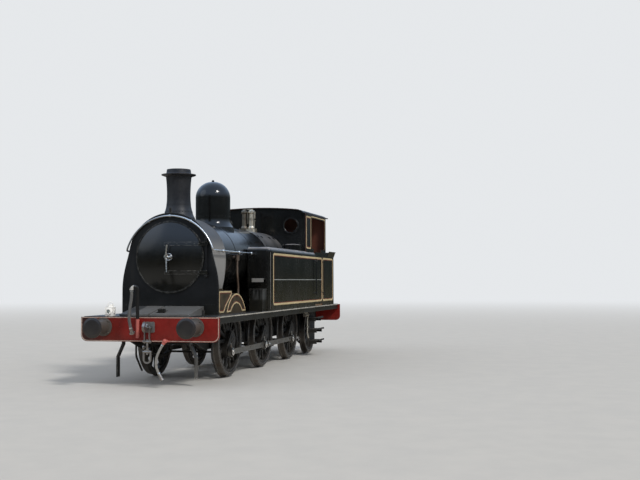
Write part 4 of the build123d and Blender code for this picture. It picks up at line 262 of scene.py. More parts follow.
# Painted sky reflection: pale grey patches where the tanks face up
upper = tank.span(tank.along("Z", tank.solid), 0.25, 0.8, 0.0, 0.9)
tank.coat(tank.times(upper, tank.cloud(5.0, 5, 0.3, 0.6, 0.45)), (0.30, 0.285, 0.285), 0.45)
tank_paint = tank.done()
cab = gloss("cab_side_paint", 0.5, 1.2, 2.1)
inside = cab.times(cab.between("X", -1.198, 1.198, 0.001), cab.span(cab.along("Z"), 2.5, 2.6))
cab_side_paint = cab.coat(inside, INSIDE_PAINT, 0.5).done()
cab = gloss("cab_back_paint", 0.3, 1.2, 2.0)
cab_back_paint = cab.facing("Y", -0.9, -0.5, INSIDE_PAINT, 0.5, 1.0, 0.0).done()
bunker = gloss("bunker_paint", 0.5, 1.2, 2.1)
bunker_paint = bunker.over("Y", 3.106, 3.109, INSIDE_PAINT, 0.5, 1.0, 0.0).done()
leaf = gloss("door_leaf_paint", 0.5, 1.2, 2.1)
leaf_paint = leaf.coat(leaf.between("X", -1.2215, 1.2215, 0.0005), INSIDE_PAINT, 0.5).done()
box = gloss("toolbox_paint", 0.4, 1.2, 1.8, 0.9, 0.3, 0.9)
# Painted highlights: pale vertical streaks on the toolboxes between 1.48 and 1.70 m up
painted_highlights = box.times(box.cloud(24.0, 4, 0.44, 0.6, 0.0, 0.8, (1, 1, 0.05)), box.between("Z", 1.48, 1.70, 0.03))
toolbox_paint = box.coat(painted_highlights, (0.085, 0.088, 0.085), 0.5).done()

soot = Finish("smokebox_paint", (0.064, 0.063, 0.062), 0.56, level=0.3, mottle=0.22, fine=17.0)
soot.over("Z", 2.3, 2.75, (0.255, 0.252, 0.245), 0.56, 1.0, 0.0).streaks(0.5, (0.105, 0.092, 0.075), 0.75)
soot.dust(0.5, 1.1, 1.9, GROUND_REFLECTION_AND_DUST).settled(0.7, (0.082, 0.078, 0.074), 0.8)
smokebox_paint = soot.worn(0.3, (0.17, 0.15, 0.13)).skin(0.002, 0.0006, 90.0).done()

front = Finish("front_plate_paint", (0.0052, 0.0055, 0.0062), 0.36, level=0.3)
front.dust(0.3, 1.2, 1.6, GROUND_REFLECTION_AND_DUST, 0.6).streaks(0.35, GRIME, 0.55).worn(0.4, (0.17, 0.16, 0.15), 0.4)
front_plate_paint = front.skin(0.003, 0.0002, 260.0).done()

door = Finish("door_paint", (0.0042, 0.0045, 0.0047), 0.17, level=0.45)
# Painted reflection of the ground: an olive tint on the door's lower part, fading out by 2.5 m
door.over("Z", 1.7, 2.5, (0.010, 0.0096, 0.0055), 0.24, 0.5, 0.0)
# The strong pale edges are wear and painted highlights on the strap edges
door.streaks(0.25, GRIME, 0.35).worn(0.8, (0.26, 0.26, 0.25), 0.3, 0.01)
door_paint = door.skin(0.0022, 0.00012, 320.0).done()

iron = Finish("chassis_paint", (0.010, 0.009, 0.008), 0.58, level=0.3, mottle=0.3, fine=14.0)
iron.streaks(0.6, (0.008, 0.007, 0.006), 0.3).dust(0.35, 0.1, 1.25, (0.060, 0.052, 0.039)).settled(0.6)
chassis_paint = iron.worn(0.6, (0.2, 0.18, 0.155), 0.45).skin(0.002, 0.0012, 70.0).done()

# Painted light and shade: a lighter iron with pale streaks and edges on the +X side, nearly black on the -X
# side
guard = Finish("guard_iron_paint", (0.075, 0.072, 0.065), 0.5, level=0.35, mottle=0.3, fine=16.0)
guard.over("X", -0.2, 0.2, (0.012, 0.011, 0.010), 0.55, 0.9, 0.0)
guard.streaks(0.6, (0.11, 0.10, 0.088), 0.55, 14.0).worn(0.9, (0.3, 0.28, 0.25), 0.4)
guard_paint = guard.skin(0.002, 0.0012, 70.0).done()

stack = Finish("chimney_paint", (0.0125, 0.0125, 0.0145), 0.46, level=0.35, mottle=0.25, fine=20.0)
stack.settled(0.6, (0.07, 0.066, 0.062)).streaks(0.5, (0.034, 0.031, 0.028), 0.55)
chimney_paint = stack.worn(0.35, (0.16, 0.14, 0.12)).skin(0.002, 0.0008, 80.0).done()


def beam_finish(name, edge=0.3):
    made = Finish(name, RED, 0.42, level=0.24, mottle=0.16, fine=12.0)
    # Painted shade: darker red over the beam's -X part, nearly black at its -X end
    made.over("X", -1.15, -0.2, (0.078, 0.013, 0.007), 0.5, 0.85, 0.0)
    made.over("X", -1.2, -0.98, (0.020, 0.010, 0.008), 0.5, 0.85, 0.0)
    made.streaks(0.5, (0.075, 0.013, 0.008), 0.5).dust(0.22, 0.75, 1.1, (0.12, 0.055, 0.04))
    return made.worn(edge, (0.3, 0.13, 0.1), 0.5).skin(0.002, 0.0005, 120.0)


beam_paint = beam_finish("beam_paint").done()

buffer = Finish("buffer_steel", (0.025, 0.020, 0.0185), 0.46, level=0.4, mottle=0.35, fine=16.0)
buffer.coat(buffer.cloud(5.5, 6, 0.42, 0.62), (0.036, 0.021, 0.016), 0.6)
outside = buffer.maths("ABSOLUTE", buffer.along("Y"))
buffer.coat(buffer.times(buffer.span(outside, 5.318, 5.33), 0.75), (0.013, 0.012, 0.013), 0.34)
buffer.coat(buffer.times(buffer.span(outside, 5.196, 5.2, 1.0, 0.0), 0.7), (0.085, 0.072, 0.06), 0.62)
buffer_paint = buffer.dust(0.2, 0.85, 1.2).worn(0.6, (0.24, 0.2, 0.17)).skin(0.001, 0.0012, 60.0).done()

wheel = Finish("wheel_paint", (0.0085, 0.0078, 0.007), 0.5, level=0.3, mottle=0.28, fine=18.0)
wheel.dust(0.35, 0.05, 1.5, (0.055, 0.047, 0.036)).streaks(0.4, (0.008, 0.007, 0.006), 0.3)
# Pale edges on the wheels: wear, and painted highlights
wheel_paint = wheel.worn(0.6, (0.22, 0.2, 0.175), 0.45).skin(0.001, 0.001, 80.0).done()


def metal(name, colour, rough, grain=240.0, rust=0.35):
    made = Finish(name, colour, rough, metal=1.0, fine=40.0)
    made.clouded(9.0, 6, 0.5, 0.72, rust, (0.13, 0.085, 0.055), 0.7)
    return made.bump(made.noise(grain, 3, (1, 0.15, 1)), 0.0002, 0.7)


tyre = metal("tyre_steel", (0.13, 0.118, 0.106), 0.48, rust=0.6).dust(0.3, 0.0, 1.4, (0.07, 0.06, 0.045))
# Pale tyre edges: wear, and painted highlights
tyre_steel = tyre.worn(0.8, (0.5, 0.47, 0.43), 0.35).done()
rods = metal("rod_steel", (0.20, 0.19, 0.172), 0.40, rust=0.5)
rod_steel = rods.worn(0.6, (0.55, 0.53, 0.49), 0.28).done()
bright_steel = metal("bright_steel", (0.66, 0.64, 0.61), 0.27, rust=0.18).done()
rail = metal("handrail_steel", (0.62, 0.60, 0.57), 0.27, rust=0.18)
rail_side = rail.times(rail.span(rail.maths("ABSOLUTE", rail.along("X")), 1.18, 1.2), 0.94)
handrail_steel = rail.coat(rail_side, (0.035, 0.035, 0.036), 0.3).done()
arch = metal("front_rail_steel", (0.66, 0.64, 0.61), 0.27, rust=0.18)
# Painted shade: the rail duller and darker over its -X part, fading out by X = 0.3 m
arch_steel = arch.over("X", -0.5, 0.3, (0.15, 0.145, 0.14), 0.45, 0.8, 0.0).done()
injector_metal = metal("injector_metal", (0.60, 0.55, 0.47), 0.3, rust=0.25).done()
brass = metal("polished_brass", (0.68, 0.58, 0.44), 0.36, rust=0.0)
brass.clouded(8.0, 5, 0.46, 0.7, 0.8, (0.17, 0.14, 0.10), 0.5)
# Painted shade: all brass much darker on the -X side of the middle
polished_brass = brass.over("X", -0.03, 0.03, (0.075, 0.060, 0.045), 0.5, 0.85, 0.0).done()
copper = metal("copper_pipe", (0.24, 0.17, 0.125), 0.42, rust=0.0)
copper_pipe = copper.clouded(11.0, 5, 0.44, 0.7, 0.7, (0.11, 0.08, 0.06), 0.6).done()
coupling = metal("coupling_iron", (0.30, 0.27, 0.24), 0.44, 90.0, 0.5)
coupling_iron = coupling.worn(0.9, (0.62, 0.58, 0.52), 0.3).done()

casing = Finish("casing_paint", (0.122, 0.122, 0.119), 0.48, level=0.4, mottle=0.14, fine=14.0)
# Nearly black over the casing beyond X = -0.46 m, fading out by -0.42 m
casing.over("X", -0.46, -0.42, (0.018, 0.017, 0.016), 0.55, 0.85, 0.0)
casing.streaks(0.5, (0.08, 0.075, 0.065), 0.6).settled(0.35, (0.1, 0.095, 0.085))
casing_paint = casing.worn(0.5, (0.34, 0.33, 0.31)).skin(0.002, 0.0004, 120.0).done()

white = Finish("lamp_paint", (0.97, 0.96, 0.93), 0.32, level=0.5, mottle=0.04)
white.streaks(0.12, (0.55, 0.5, 0.42), 0.6, 16.0).worn(0.2, (0.35, 0.3, 0.26), 0.5, 0.004)
lamp_paint = white.skin(0.0006, 0.0003, 140.0).done()


def line_paint(name, colour, runs):
    made = Finish(name, colour, 0.36, level=0.4, mottle=0.16).streaks(0.4, runs, 0.5)
    return made.skin(0.0004, 0.0001).done()


lining_straw = line_paint("lining_straw", (0.56, 0.45, 0.26), (0.26, 0.19, 0.10))
# Painted reflection of the horizon: the grey line across the tanks and cab doors
horizon_reflection_grey = line_paint("horizon_reflection_grey", (0.30, 0.32, 0.315), (0.12, 0.12, 0.11))
lining_red = line_paint("lining_red", (0.17, 0.022, 0.014), (0.06, 0.02, 0.012))
# Painted highlight: the pale pinkish line along the buffer beams' edges
edge = Finish("edge_line", (0.50, 0.37, 0.31), 0.5, level=0.35, mottle=0.3, fine=22.0)
edge_paint = edge.streaks(0.6, (0.25, 0.10, 0.07), 0.6, 14.0).skin(0.0004, 0.0002).done()
# Painted highlight: the pale strips along the running plate's outer edges
highlight_strip_finish = Finish("running_plate_highlight", (0.40, 0.38, 0.335), 0.44, level=0.45, mottle=0.35, fine=15.0)
running_plate_highlight = highlight_strip_finish.streaks(0.6, (0.10, 0.085, 0.065), 0.6, 12.0).skin(0.0006, 0.0006, 90.0).done()

rubber = Finish("hose_rubber", (0.105, 0.102, 0.098), 0.6, level=0.35, mottle=0.25, fine=60.0)
rubber.over("Z", 0.75, 0.85, (0.30, 0.29, 0.27), 0.65, 1.0, 0.0)
rubber.coat(rubber.cloud(14.0, 5, 0.52, 0.7, 0.0, 0.5), (0.21, 0.20, 0.18), 0.75)
hose_rubber = rubber.skin(0.0006, 0.0006, 300.0).done()

timber = Finish("floor_wood", (0.19, 0.125, 0.07), 0.66, level=0.3, mottle=0.2)
grain = timber.noise(16.0, 6, (9.0, 0.5, 9.0), 1.2)
timber.coat(timber.span(grain, 0.44, 0.62, 0.0, 0.7), (0.085, 0.052, 0.028), 0.75)
gaps = timber.span(timber.maths("PINGPONG", timber.along("X"), 0.0775), 0.0, 0.004, 1.0, 0.0)
timber.coat(gaps, (0.01, 0.008, 0.006), 0.9).bump(gaps, -0.003).bump(grain, 0.0006)
floor_wood = timber.settled(0.5, (0.05, 0.045, 0.038)).done()

fitting = Finish("cab_fittings", (0.030, 0.029, 0.027), 0.42, level=0.4, mottle=0.25)
cab_fittings = fitting.worn(0.7, (0.36, 0.34, 0.31), 0.35).settled(0.5).skin(0.001, 0.0006, 100.0).done()
dial_face = Finish("dial_face", (0.74, 0.72, 0.66), 0.3, level=0.5, mottle=0.05).skin(0.0002, 0.0001).done()
dial_ink = Finish("dial_ink", (0.012, 0.012, 0.012), 0.4, level=0.4, mottle=0.1).skin(0.0001, 0.0001).done()


def glass_finish(name, tint, rough):
    made = Finish(name, tint, rough, level=0.5, mottle=0.05)
    made.coat(made.cloud(5.0, 5, 0.5, 0.72, 0.0, 0.35), tuple(c * 0.75 for c in tint), 0.25)
    made.shader.inputs["Transmission Weight"].default_value = 1.0
    made.shader.inputs["IOR"].default_value = 1.45
    return made.bump(made.noise(3.0, 2), 0.0005).done()


window_glass = glass_finish("window_glass", (0.38, 0.40, 0.39), 0.04)
lamp_glass = glass_finish("lamp_glass", (0.62, 0.66, 0.66), 0.03)

# Darker rings round the front windows
cab = gloss("cab_front_paint", 0.3, 1.2, 2.0)
across = cab.maths("SUBTRACT", cab.maths("ABSOLUTE", cab.along("X")), SPECTACLE_X / 1000)
rise = cab.maths("SUBTRACT", cab.along("Z"), (SPECTACLE_UP + RAIL_UP) / 1000)
away = cab.maths("SQRT", cab.maths("ADD", cab.times(across, across), cab.times(rise, rise)))
cab.coat(cab.span(away, 0.203, 0.206, 0.6, 0.0), (0.010, 0.0098, 0.0095), 0.3)
cab_front_paint = cab.facing("Y", 0.5, 0.9, INSIDE_PAINT, 0.5).done()

roof = Finish("roof_paint", (0.022, 0.023, 0.027), 0.48, level=0.35, mottle=0.25, fine=12.0)
roof.settled(0.55, (0.06, 0.06, 0.062), 0.7).streaks(0.4, (0.06, 0.055, 0.048), 0.6)
roof.facing("Z", -0.9, -0.5, INSIDE_PAINT, 0.55, 1.0, 0.0)
roof_paint = roof.worn(0.4, (0.12, 0.115, 0.11)).skin(0.003, 0.0004, 110.0).done()

pipes = beam_finish("pipe_paint", 0.6)
above_beam = pipes.span(pipes.along("Z"), 1.19, 1.215)
black_part = pipes.maths("MAXIMUM", above_beam, pipes.between("Y", -4.87, 4.87))
# Painted highlight: pale pink on the pipes below the beam's top edge
pipes.coat(pipes.maths("SUBTRACT", 1.0, above_beam), (0.47, 0.13, 0.11), 0.4)
pipes.coat(black_part, (0.014, 0.0135, 0.013), 0.34)
mouth = pipes.times(pipes.span(pipes.along("Z"), 1.70, 1.715), pipes.span(pipes.along("X"), -0.232, -0.24))
pipe_paint = pipes.coat(mouth, (0.42, 0.41, 0.39), 0.35).done()

PAINT = [
    (chassis_paint, "main_frame axleboxes axle_springs brake_gear sand_pipes"),
    (chassis_paint, "cylinder_block ashpan cab_steps"),
    (beam_paint, "buffer_beams"), (deck_paint, "footplate"), (buffer_paint, "buffers"),
    (coupling_iron, "drawgear hose_couplings"), (guard_paint, "guard_irons"),
    (rod_steel, "inside_motion left_coupling_rod right_coupling_rod"), (smokebox_paint, "smokebox"),
    (front_plate_paint, "smokebox_front"), (door_paint, "smokebox_door"),
    (bright_steel, "door_handles front_handrail"), (boiler_paint, "boiler_barrel dome"),
    (firebox_paint, "firebox"), (chimney_paint, "chimney"), (polished_brass, "safety_valves whistle"),
    (tank_paint, "side_tanks left_tank_lid right_tank_lid"), (splash_paint, "splashers sandboxes"),
    (toolbox_paint, "toolboxes"), (casing_paint, "front_casing"), (roof_paint, "cab_roof"),
    (cab_front_paint, "cab_front"), (cab_side_paint, "cab_sides"), (bunker_paint, "bunker"),
    (cab_back_paint, "cab_back"), (window_glass, "window_glass"), (floor_wood, "cab_floor"),
    (leaf_paint, "left_cab_door right_cab_door"), (cab_fittings, "cab_controls"),
    (handrail_steel, "handrails"), (copper_pipe, "feed_pipes"), (injector_metal, "injectors"),
    (pipe_paint, "train_pipes"), (lamp_paint, "headlamp"),
    (wheel_paint, "leading_wheelset driving_wheelset rear_coupled_wheelset trailing_wheelset"),
    (tyre_steel, "leading_tyres driving_tyres rear_coupled_tyres trailing_tyres"),
]
for paint, names in PAINT:
    for name in names.split():
        nodes[name].data.materials.clear()
        nodes[name].data.materials.append(paint)


# Mesh building, in engine coordinates
SIDES = (-1, 1)
OUTWARD, INWARD = (1, 0, 0), (-1, 0, 0)
REARWARD, FORWARD = (0, 1, 0), (0, -1, 0)
UP, DOWN = (0, 0, 1), (0, 0, -1)


def square_to(normal):
    """Two unit vectors at right angles to a normal and to each other."""
    normal = Vector(normal).normalized()
    side = normal.cross((0, 0, 1))
    if side.length < 0.2:
        side = normal.cross((0, 1, 0))
    side.normalize()
    return side, normal.cross(side), normal


def steps(low, high, pitch):
    """Evenly spaced values from low to high, about a pitch apart."""
    count = max(1, round((high - low) / pitch))
    return [low + (high - low) * i / count for i in range(count + 1)]


def sweep(start, end, pieces):
    """Angles from start to end, which are given in degrees and both included."""
    return [math.radians(start + (end - start) * i / pieces) for i in range(pieces + 1)]


def turns(count, start=0.0):
    """Angles spread round a full circle."""
    return [start + 2 * math.pi * i / count for i in range(count)]


def circle(x, back, up, reach, angles, side_on=False):
    """Points round a centre, in a plane across the engine or, side on, along it."""
    out = []
    for a in angles:
        level, rise = reach * math.cos(a), reach * math.sin(a)
        out.append((x, back + level, up + rise) if side_on else (x + level, back, up + rise))
    return out


def grid(*columns):
    """All points whose x, back and up come from the columns, each a number or a row of numbers."""
    xs, backs, ups = [c if isinstance(c, (list, tuple)) else [c] for c in columns]
    return [(x, back, up) for x in xs for back in backs for up in ups]


class Shape:
    """Gathers the vertices and faces of one piece."""

    def __init__(self):
        self.points = []
        self.faces = []

    def add(self, points, faces):
        base = len(self.points)
        self.points += [Vector(p) for p in points]
        self.faces += [[base + i for i in face] for face in faces]

    def rings(self, rings, close_start=False, close_end=False):
        """Skins a row of rings of equal count, with flat ends if asked."""
        count, faces = len(rings[0]), []
        last = (len(rings) - 1) * count
        for row in range(0, last, count):
            for i in range(count):
                j = (i + 1) % count
                faces.append([row + i, row + j, row + count + j, row + count + i])
        if close_start:
            faces.append(list(range(count))[::-1])
        if close_end:
            faces.append([last + i for i in range(count)])
        self.add([p for one in rings for p in one], faces)

    def lathe(self, base, axis, profile, sides=24, close_start=False, close_end=False):
        """Turned form: the profile's columns are radius and distance along the axis."""
        u, v, w = square_to(axis)
        base = Vector(base)
        rings = []
        for radius, along in profile:
            around = [(u * math.cos(a) + v * math.sin(a)) * radius for a in turns(sides)]
            rings.append([base + w * along + spot for spot in around])
        self.rings(rings, close_start, close_end)

    def boss(self, base, axis, profile, sides):
        """Turned form whose far end is closed."""
        self.lathe(base, axis, profile, sides, close_end=True)

    def stud(self, at, normal, radius):
        """Snap-headed rivet."""
        height = radius * 0.7
        profile = [(radius, -1), (radius * 0.86, height * 0.55), (radius * 0.45, height * 0.92)]
        self.boss(at, normal, profile, 8)

    def nut(self, at, normal, radius, height):
        """Hexagon with an eased top and the bolt's end in it."""
        bolt = radius * 0.5
        profile = [(radius, -1), (radius, height * 0.82), (radius * 0.84, height), (bolt, height)]
        self.lathe(at, normal, profile, 6)
        profile = [(bolt, height * 0.9), (bolt, height * 1.3), (radius * 0.36, height * 1.45)]
        self.boss(at, normal, profile, 8)

    def block(self, low, high, ease):
        """Box with eased edges."""
        points, faces, index = [], [], {}
        for corner in range(8):
            bits = [(corner >> k) & 1 for k in range(3)]
            full = [(low, high)[bits[k]][k] for k in range(3)]
            inward = [(1, -1)[bits[k]] * ease for k in range(3)]
            for k in range(3):
                index[corner, k] = len(points)
                points.append([full[j] + (0 if j == k else inward[j]) for j in range(3)])
            faces.append([index[corner, k] for k in range(3)])
        for k in range(3):
            a, b = [j for j in range(3) if j != k]
            for bit in (0, 1):
                loop = [(bit << k) + (p << a) + (q << b) for p, q in ((0, 0), (1, 0), (1, 1), (0, 1))]
                faces.append([index[c, k] for c in loop])
            for start in (0, 1 << a, 1 << b, (1 << a) + (1 << b)):
                end = start + (1 << k)
                faces.append([index[start, a], index[end, a], index[end, b], index[start, b]])
        middle = Vector([(low[k] + high[k]) / 2 for k in range(3)])
        for face in faces:
            spots = [Vector(points[i]) for i in face]
            out = (spots[1] - spots[0]).cross(spots[2] - spots[1])
            if out.dot(sum(spots, Vector()) / len(spots) - middle) < 0:
                face.reverse()
        self.add(points, faces)

    def tube(self, path, radius, sides=10, closed=False):
        """Round bar along a path, turned at each point into the bend."""
        path = [Vector(p) for p in path]
        count = len(path)
        rings, across = [], None
        for i, point in enumerate(path):
            before = path[i - 1] if i or closed else point
            after = path[(i + 1) % count] if i < count - 1 or closed else point
            heading = (after - before).normalized()
            if across is None:
                across = square_to(heading)[0]
            across = (across - heading * across.dot(heading)).normalized()
            other = heading.cross(across)
            wide = radius[i] if isinstance(radius, (list, tuple)) else radius
            around = [across * math.cos(a) + other * math.sin(a) for a in turns(sides)]
            rings.append([point + spot * wide for spot in around])
        if closed:
            rings.append(rings[0])
        self.rings(rings, not closed, not closed)

    def strip(self, outline, normal, width, lift=2.0, closed=True, shift=0.0):
        """Painted line or flat bead along an outline that lies in one plane; shift moves it sideways."""
        normal = Vector(normal).normalized()
        outline = [Vector(p) for p in outline]
        count, half = len(outline), width / 2
        section = ((-half, -0.5), (-half + 1, lift), (half - 1, lift), (half, -0.5))
        rows = []
        for i, point in enumerate(outline):
            before = outline[i - 1] if i or closed else None
            after = outline[(i + 1) % count] if i < count - 1 or closed else None
            first = (point - before).normalized() if before is not None else (after - point).normalized()
            second = (after - point).normalized() if after is not None else first
            side = normal.cross(first + second).normalized()
            reach = 1 / max(0.3, side.dot(normal.cross(first)))
            rows.append([point + side * reach * (shift + offset) + normal * up for offset, up in section])
        if closed:
            rows.append(rows[0])
        starts = [i * 4 + k for i in range(len(rows) - 1) for k in range(3)]
        self.add([p for row in rows for p in row], [[s + 4, s + 5, s + 1, s] for s in starts])

    def mirrored(self):
        """The same shape on the other side of the engine."""
        other = Shape()
        other.points = [Vector((-p.x, p.y, p.z)) for p in self.points]
        other.faces = [face[::-1] for face in self.faces]
        return other

    def both(self):
        """Adds the shape's mirror image to itself."""
        other = self.mirrored()
        self.add(other.points, other.faces)
        return self

    def piece(self, name, material, slot, body="engine"):
        mesh = bpy.data.meshes.new(name)
        mesh.from_pydata([place(p) for p in self.points], [], self.faces)
        mesh.validate()
        mesh.update()
        mesh.polygons.foreach_set("use_smooth", [True] * len(mesh.polygons))
        mesh.set_sharp_from_angle(angle=math.radians(35.0))
        mesh.materials.append(material)
        made = linked(name, mesh)
        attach(made, body)
        return made


trees = {}
shown = dict(nodes)


def surface(node, start, towards):
    """Where a line from start meets a node, in engine coordinates, with the surface's normal."""
    if node not in trees:
        mesh = shown[node].data
        faces = [p.vertices[:] for p in mesh.polygons]
        trees[node] = BVHTree.FromPolygons([v.co for v in mesh.vertices], faces)
    at, normal, _, _ = trees[node].ray_cast(place(start), Vector(towards).normalized())
    if at is None:
        return None, None
    return on_engine(at), -normal if normal.dot(Vector(towards)) > 0 else normal


def rivets(shape, node, starts, towards, radius, nut=False):
    """Rivet heads, or nuts, where lines from the start points meet a node."""
    for start in starts:
        at, normal = surface(node, start, towards)
        if at is not None and nut:
            shape.nut(at, normal, radius, radius * 0.8)
        elif at is not None:
            shape.stud(at, normal, radius)


def riveted(name, material, slot, rows, sides=(1,), body="engine"):
    """A piece of rivets: rows of what rivets() needs, as they stand or on both sides of the engine."""
    shape = Shape()
    for side in sides:
        for node, starts, (x, back, up), *size in rows:
            rivets(shape, node, [(side * p[0], p[1], p[2]) for p in starts], (side * x, back, up), *size)
    return shape.piece(name, material, slot, body)


def rounded(corners, radius, closed=True, pieces=5):
    """Outline through the corners, points as (back, up), with each corner rounded."""
    points = [Vector(c) for c in corners]
    count = len(points)
    out = []
    for i, corner in enumerate(points):
        if not closed and i in (0, count - 1):
            out.append(corner)
            continue
        to_before = (points[i - 1] - corner).normalized()
        to_after = (points[(i + 1) % count] - corner).normalized()
        half = to_before.angle(to_after) / 2
        centre = corner + (to_before + to_after).normalized() * (radius / math.sin(half))
        a, b = (corner + to * (radius / math.tan(half)) - centre for to in (to_before, to_after))
        out += [centre + a.lerp(b, k / pieces).normalized() * radius for k in range(pieces + 1)]
    return out


# Hoses, on the part's own routes
HOSES = [
    # name, cord's radius, real length, route across, back, up
    ("vacuum_hose", 28.0, 0.69, [(-272, -132, 1684), (-272, -132, 1560), (-282, -164, 1410),
                                 (-290, -196, 1250), (-286, -192, 1115), (-274, -146, 1005)]),
    ("heating_hose", 23.0, 0.56, [(300, -82, 735), (245, -96, 640), (197, -106, 530),
                                  (180, -112, 410), (198, -112, 300), (244, -106, 212)]),
]
END_MARGIN, WINDING_PITCH = 42.0, 15.0
for name, radius, length, route in HOSES:
    line = bpy.data.curves.new(name + "_line", "CURVE")
    line.dimensions = "3D"
    line.resolution_u = 24
    run = line.splines.new("NURBS")
    run.points.add(len(route) - 1)
    for point, spot in zip(run.points, route):
        point.co = (*place(spot), 1.0)
    run.order_u = 3
    run.use_endpoint_u = True
    hose = linked(name + "_flexible", line)
    bpy.context.view_layer.update()
    trail = [on_engine(v.co) for v in bpy.data.meshes.new_from_object(hose).vertices]
    line.bevel_depth = (radius - 1.5) / 1000
    line.bevel_resolution = 6
    line.materials.append(hose_rubber)
    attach(hose, "engine")
    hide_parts(name)
    # Wire windings under the cover, and a clip at each end
    winding, clips = Shape(), Shape()
    gone, due = 0.0, END_MARGIN
    for start, end in zip(trail, trail[1:]):
        stretch = (end - start).length
        while due <= gone + stretch and due < length * 1000 - END_MARGIN:
            heading = (end - start) / stretch
            rib = [(radius - 2.5, -4), (radius, -2), (radius, 2), (radius - 2.5, 4)]
            winding.lathe(start + heading * (due - gone), heading, rib, 20)
            due += WINDING_PITCH
        gone += stretch
    for end, inner in ((trail[0], trail[2]), (trail[-1], trail[-3])):
        band = [(radius - 3, 8), (radius + 3.5, 9), (radius + 3.5, 30), (radius - 3, 31)]
        clips.lathe(end, (inner - end).normalized(), band, 24)
    ribs = winding.piece(name + "_windings", hose_rubber, "hose_rubber")
    bands = clips.piece(name + "_clips", bright_steel, "bright_steel")


# Rivets and bolts of the chassis
riveted("beam_rivets", beam_paint, "beam_red", [
    ("buffer_beams", grid(steps(-1270, 1270, 98), face, 1180) + grid(steps(-1170, 1170, 98), face, 800)
     + grid((-562, -700, 562, 700), face, steps(872, 1110, 79))
     + grid((-1284, 1284), face, steps(905, 1105, 66)),
     (0, outward, 0), 11)
    for face, outward in ((-60, 1), (9890, -1))
])

# Painted highlight: pale lines along the buffer beams' edges
beam_lines = Shape()
for back, out in ((0, -1), (9830, 1)):
    outline = rounded([(-1296, 1192), (-1296, 784), (1296, 784), (1296, 1192)], 108, closed=False)
    beam_lines.strip([(x, back, up) for x, up in outline], (0, out, 0), 15, closed=False)
    beam_lines.strip([(-1300, back, 1196), (1300, back, 1196)], (0, out, 0), 13, closed=False)
beam_lines.piece("beam_edge_lines", edge_paint, "beam_red")

BUFFER_X, BUFFER_UP, BOLT_CIRCLE = 870, 1030, 144
buffer_bolts = Shape()
for flange, outward in ((-26, 1), (9856, -1)):
    for side in SIDES:
        start = flange - outward * 30
        for spot in circle(side * BUFFER_X, start, BUFFER_UP, BOLT_CIRCLE, turns(4, math.pi / 4)):
            at, normal = surface("buffers", spot, (0, outward, 0))
            if at is not None and abs(at.y - flange) < 12:
                buffer_bolts.nut(at, normal, 17, 13)
buffer_bolts.piece("buffer_bolts", buffer_paint, "buffer_metal")

riveted("running_plate_rivets", deck_paint, "black_gloss", [
    ("footplate", grid(1290, steps(70, 9760, 140), 1182), INWARD, 9),
    ("footplate", grid(1290, steps(140, 9690, 280), 1106), INWARD, 9),
    ("footplate", grid(1222, steps(60, 3340, 102), 1300), DOWN, 7),
    ("footplate", grid(steps(80, 1180, 92), 90, 1300), DOWN, 7),
], SIDES)

# Painted highlight: pale strips along the running plate's outer edges
plate_edge = Shape()
for side in (1, -1):
    ends = grid(side * 1250, (28, 9802), 1202)
    plate_edge.strip(ends, (side, 0, 0), 22, 1.5, closed=False)
plate_edge.piece("running_plate_edges", running_plate_highlight, "black_gloss")

FRAME_BOLTS = [
    # back, heights low and high, pitch
    (395, 640, 1150, 84), (465, 640, 1150, 84), (1090, 700, 1150, 74), (1240, 960, 1150, 74),
    (1440, 960, 1150, 74), (1640, 960, 1150, 74), (1800, 820, 1150, 74), (3265, 640, 760, 60),
    (3335, 640, 760, 60), (4775, 620, 1150, 84), (4845, 620, 1150, 84), (7525, 640, 760, 60),
    (7600, 640, 1150, 84), (9230, 760, 820, 60), (9310, 620, 1150, 84),
]
rows = [("main_frame", grid(672, back, steps(*heights)), INWARD, 13) for back, *heights in FRAME_BOLTS]
riveted("frame_bolts", chassis_paint, "black_matt", rows, SIDES)
riveted("bracket_bolts", chassis_paint, "black_matt", [
    ("guard_irons", grid(780, (330, 380), (690, 820, 950)), INWARD, 14, True),
    ("cab_steps", grid(1120, (7520, 7920), (1010, 1080)), INWARD, 13, True),
], SIDES)

treads = Shape()
for side in SIDES:
    for up, reach in ((360, 1292), (640, 1292), (920, 1270)):
        top, _ = surface("cab_steps", (side * (reach - 60), 7720, up + 60), DOWN)
        if top is None:
            continue
        for i, x in enumerate(steps(reach - 190, reach - 34, 26)):
            for back in steps(7470 + 13 * (i % 2), 7970 - 13 * (i % 2), 40):
                at, normal = surface("cab_steps", (side * x, back, up + 60), DOWN)
                if at is not None and abs(at.z - top.z) < 6:
                    treads.boss(at, normal, [(9, -0.5), (6, 2.2), (2.5, 3)], 4)
treads.piece("step_treads", chassis_paint, "black_matt")

# Painted highlight: pale grey plates on the tank fronts, from 1814 to 1893 mm up
aprons = Shape()
aprons.block((884, 3203, 1814), (1136, 3211, 1893), 2)
for x in (906, 1114):
    aprons.stud((x, 3203, 1850), FORWARD, 9)
aprons.both().piece("tank_step_aprons", smokebox_paint, "black_gloss")

overflows = Shape()
overflows.tube([(1040, 7255, 975), (1040, 7255, 560), (1046, 7262, 500), (1060, 7290, 430)], 21, 14)
for up in (944, 700):
    overflows.lathe((1040, 7255, up), UP, [(21, -14), (34, -12), (34, 12), (21, 14)], 6)
overflows.tube([(1040, 7010, 1010), (1040, 7010, 1080)], 27, 12)
overflows.both().piece("injector_overflows", injector_metal, "coupling_iron")


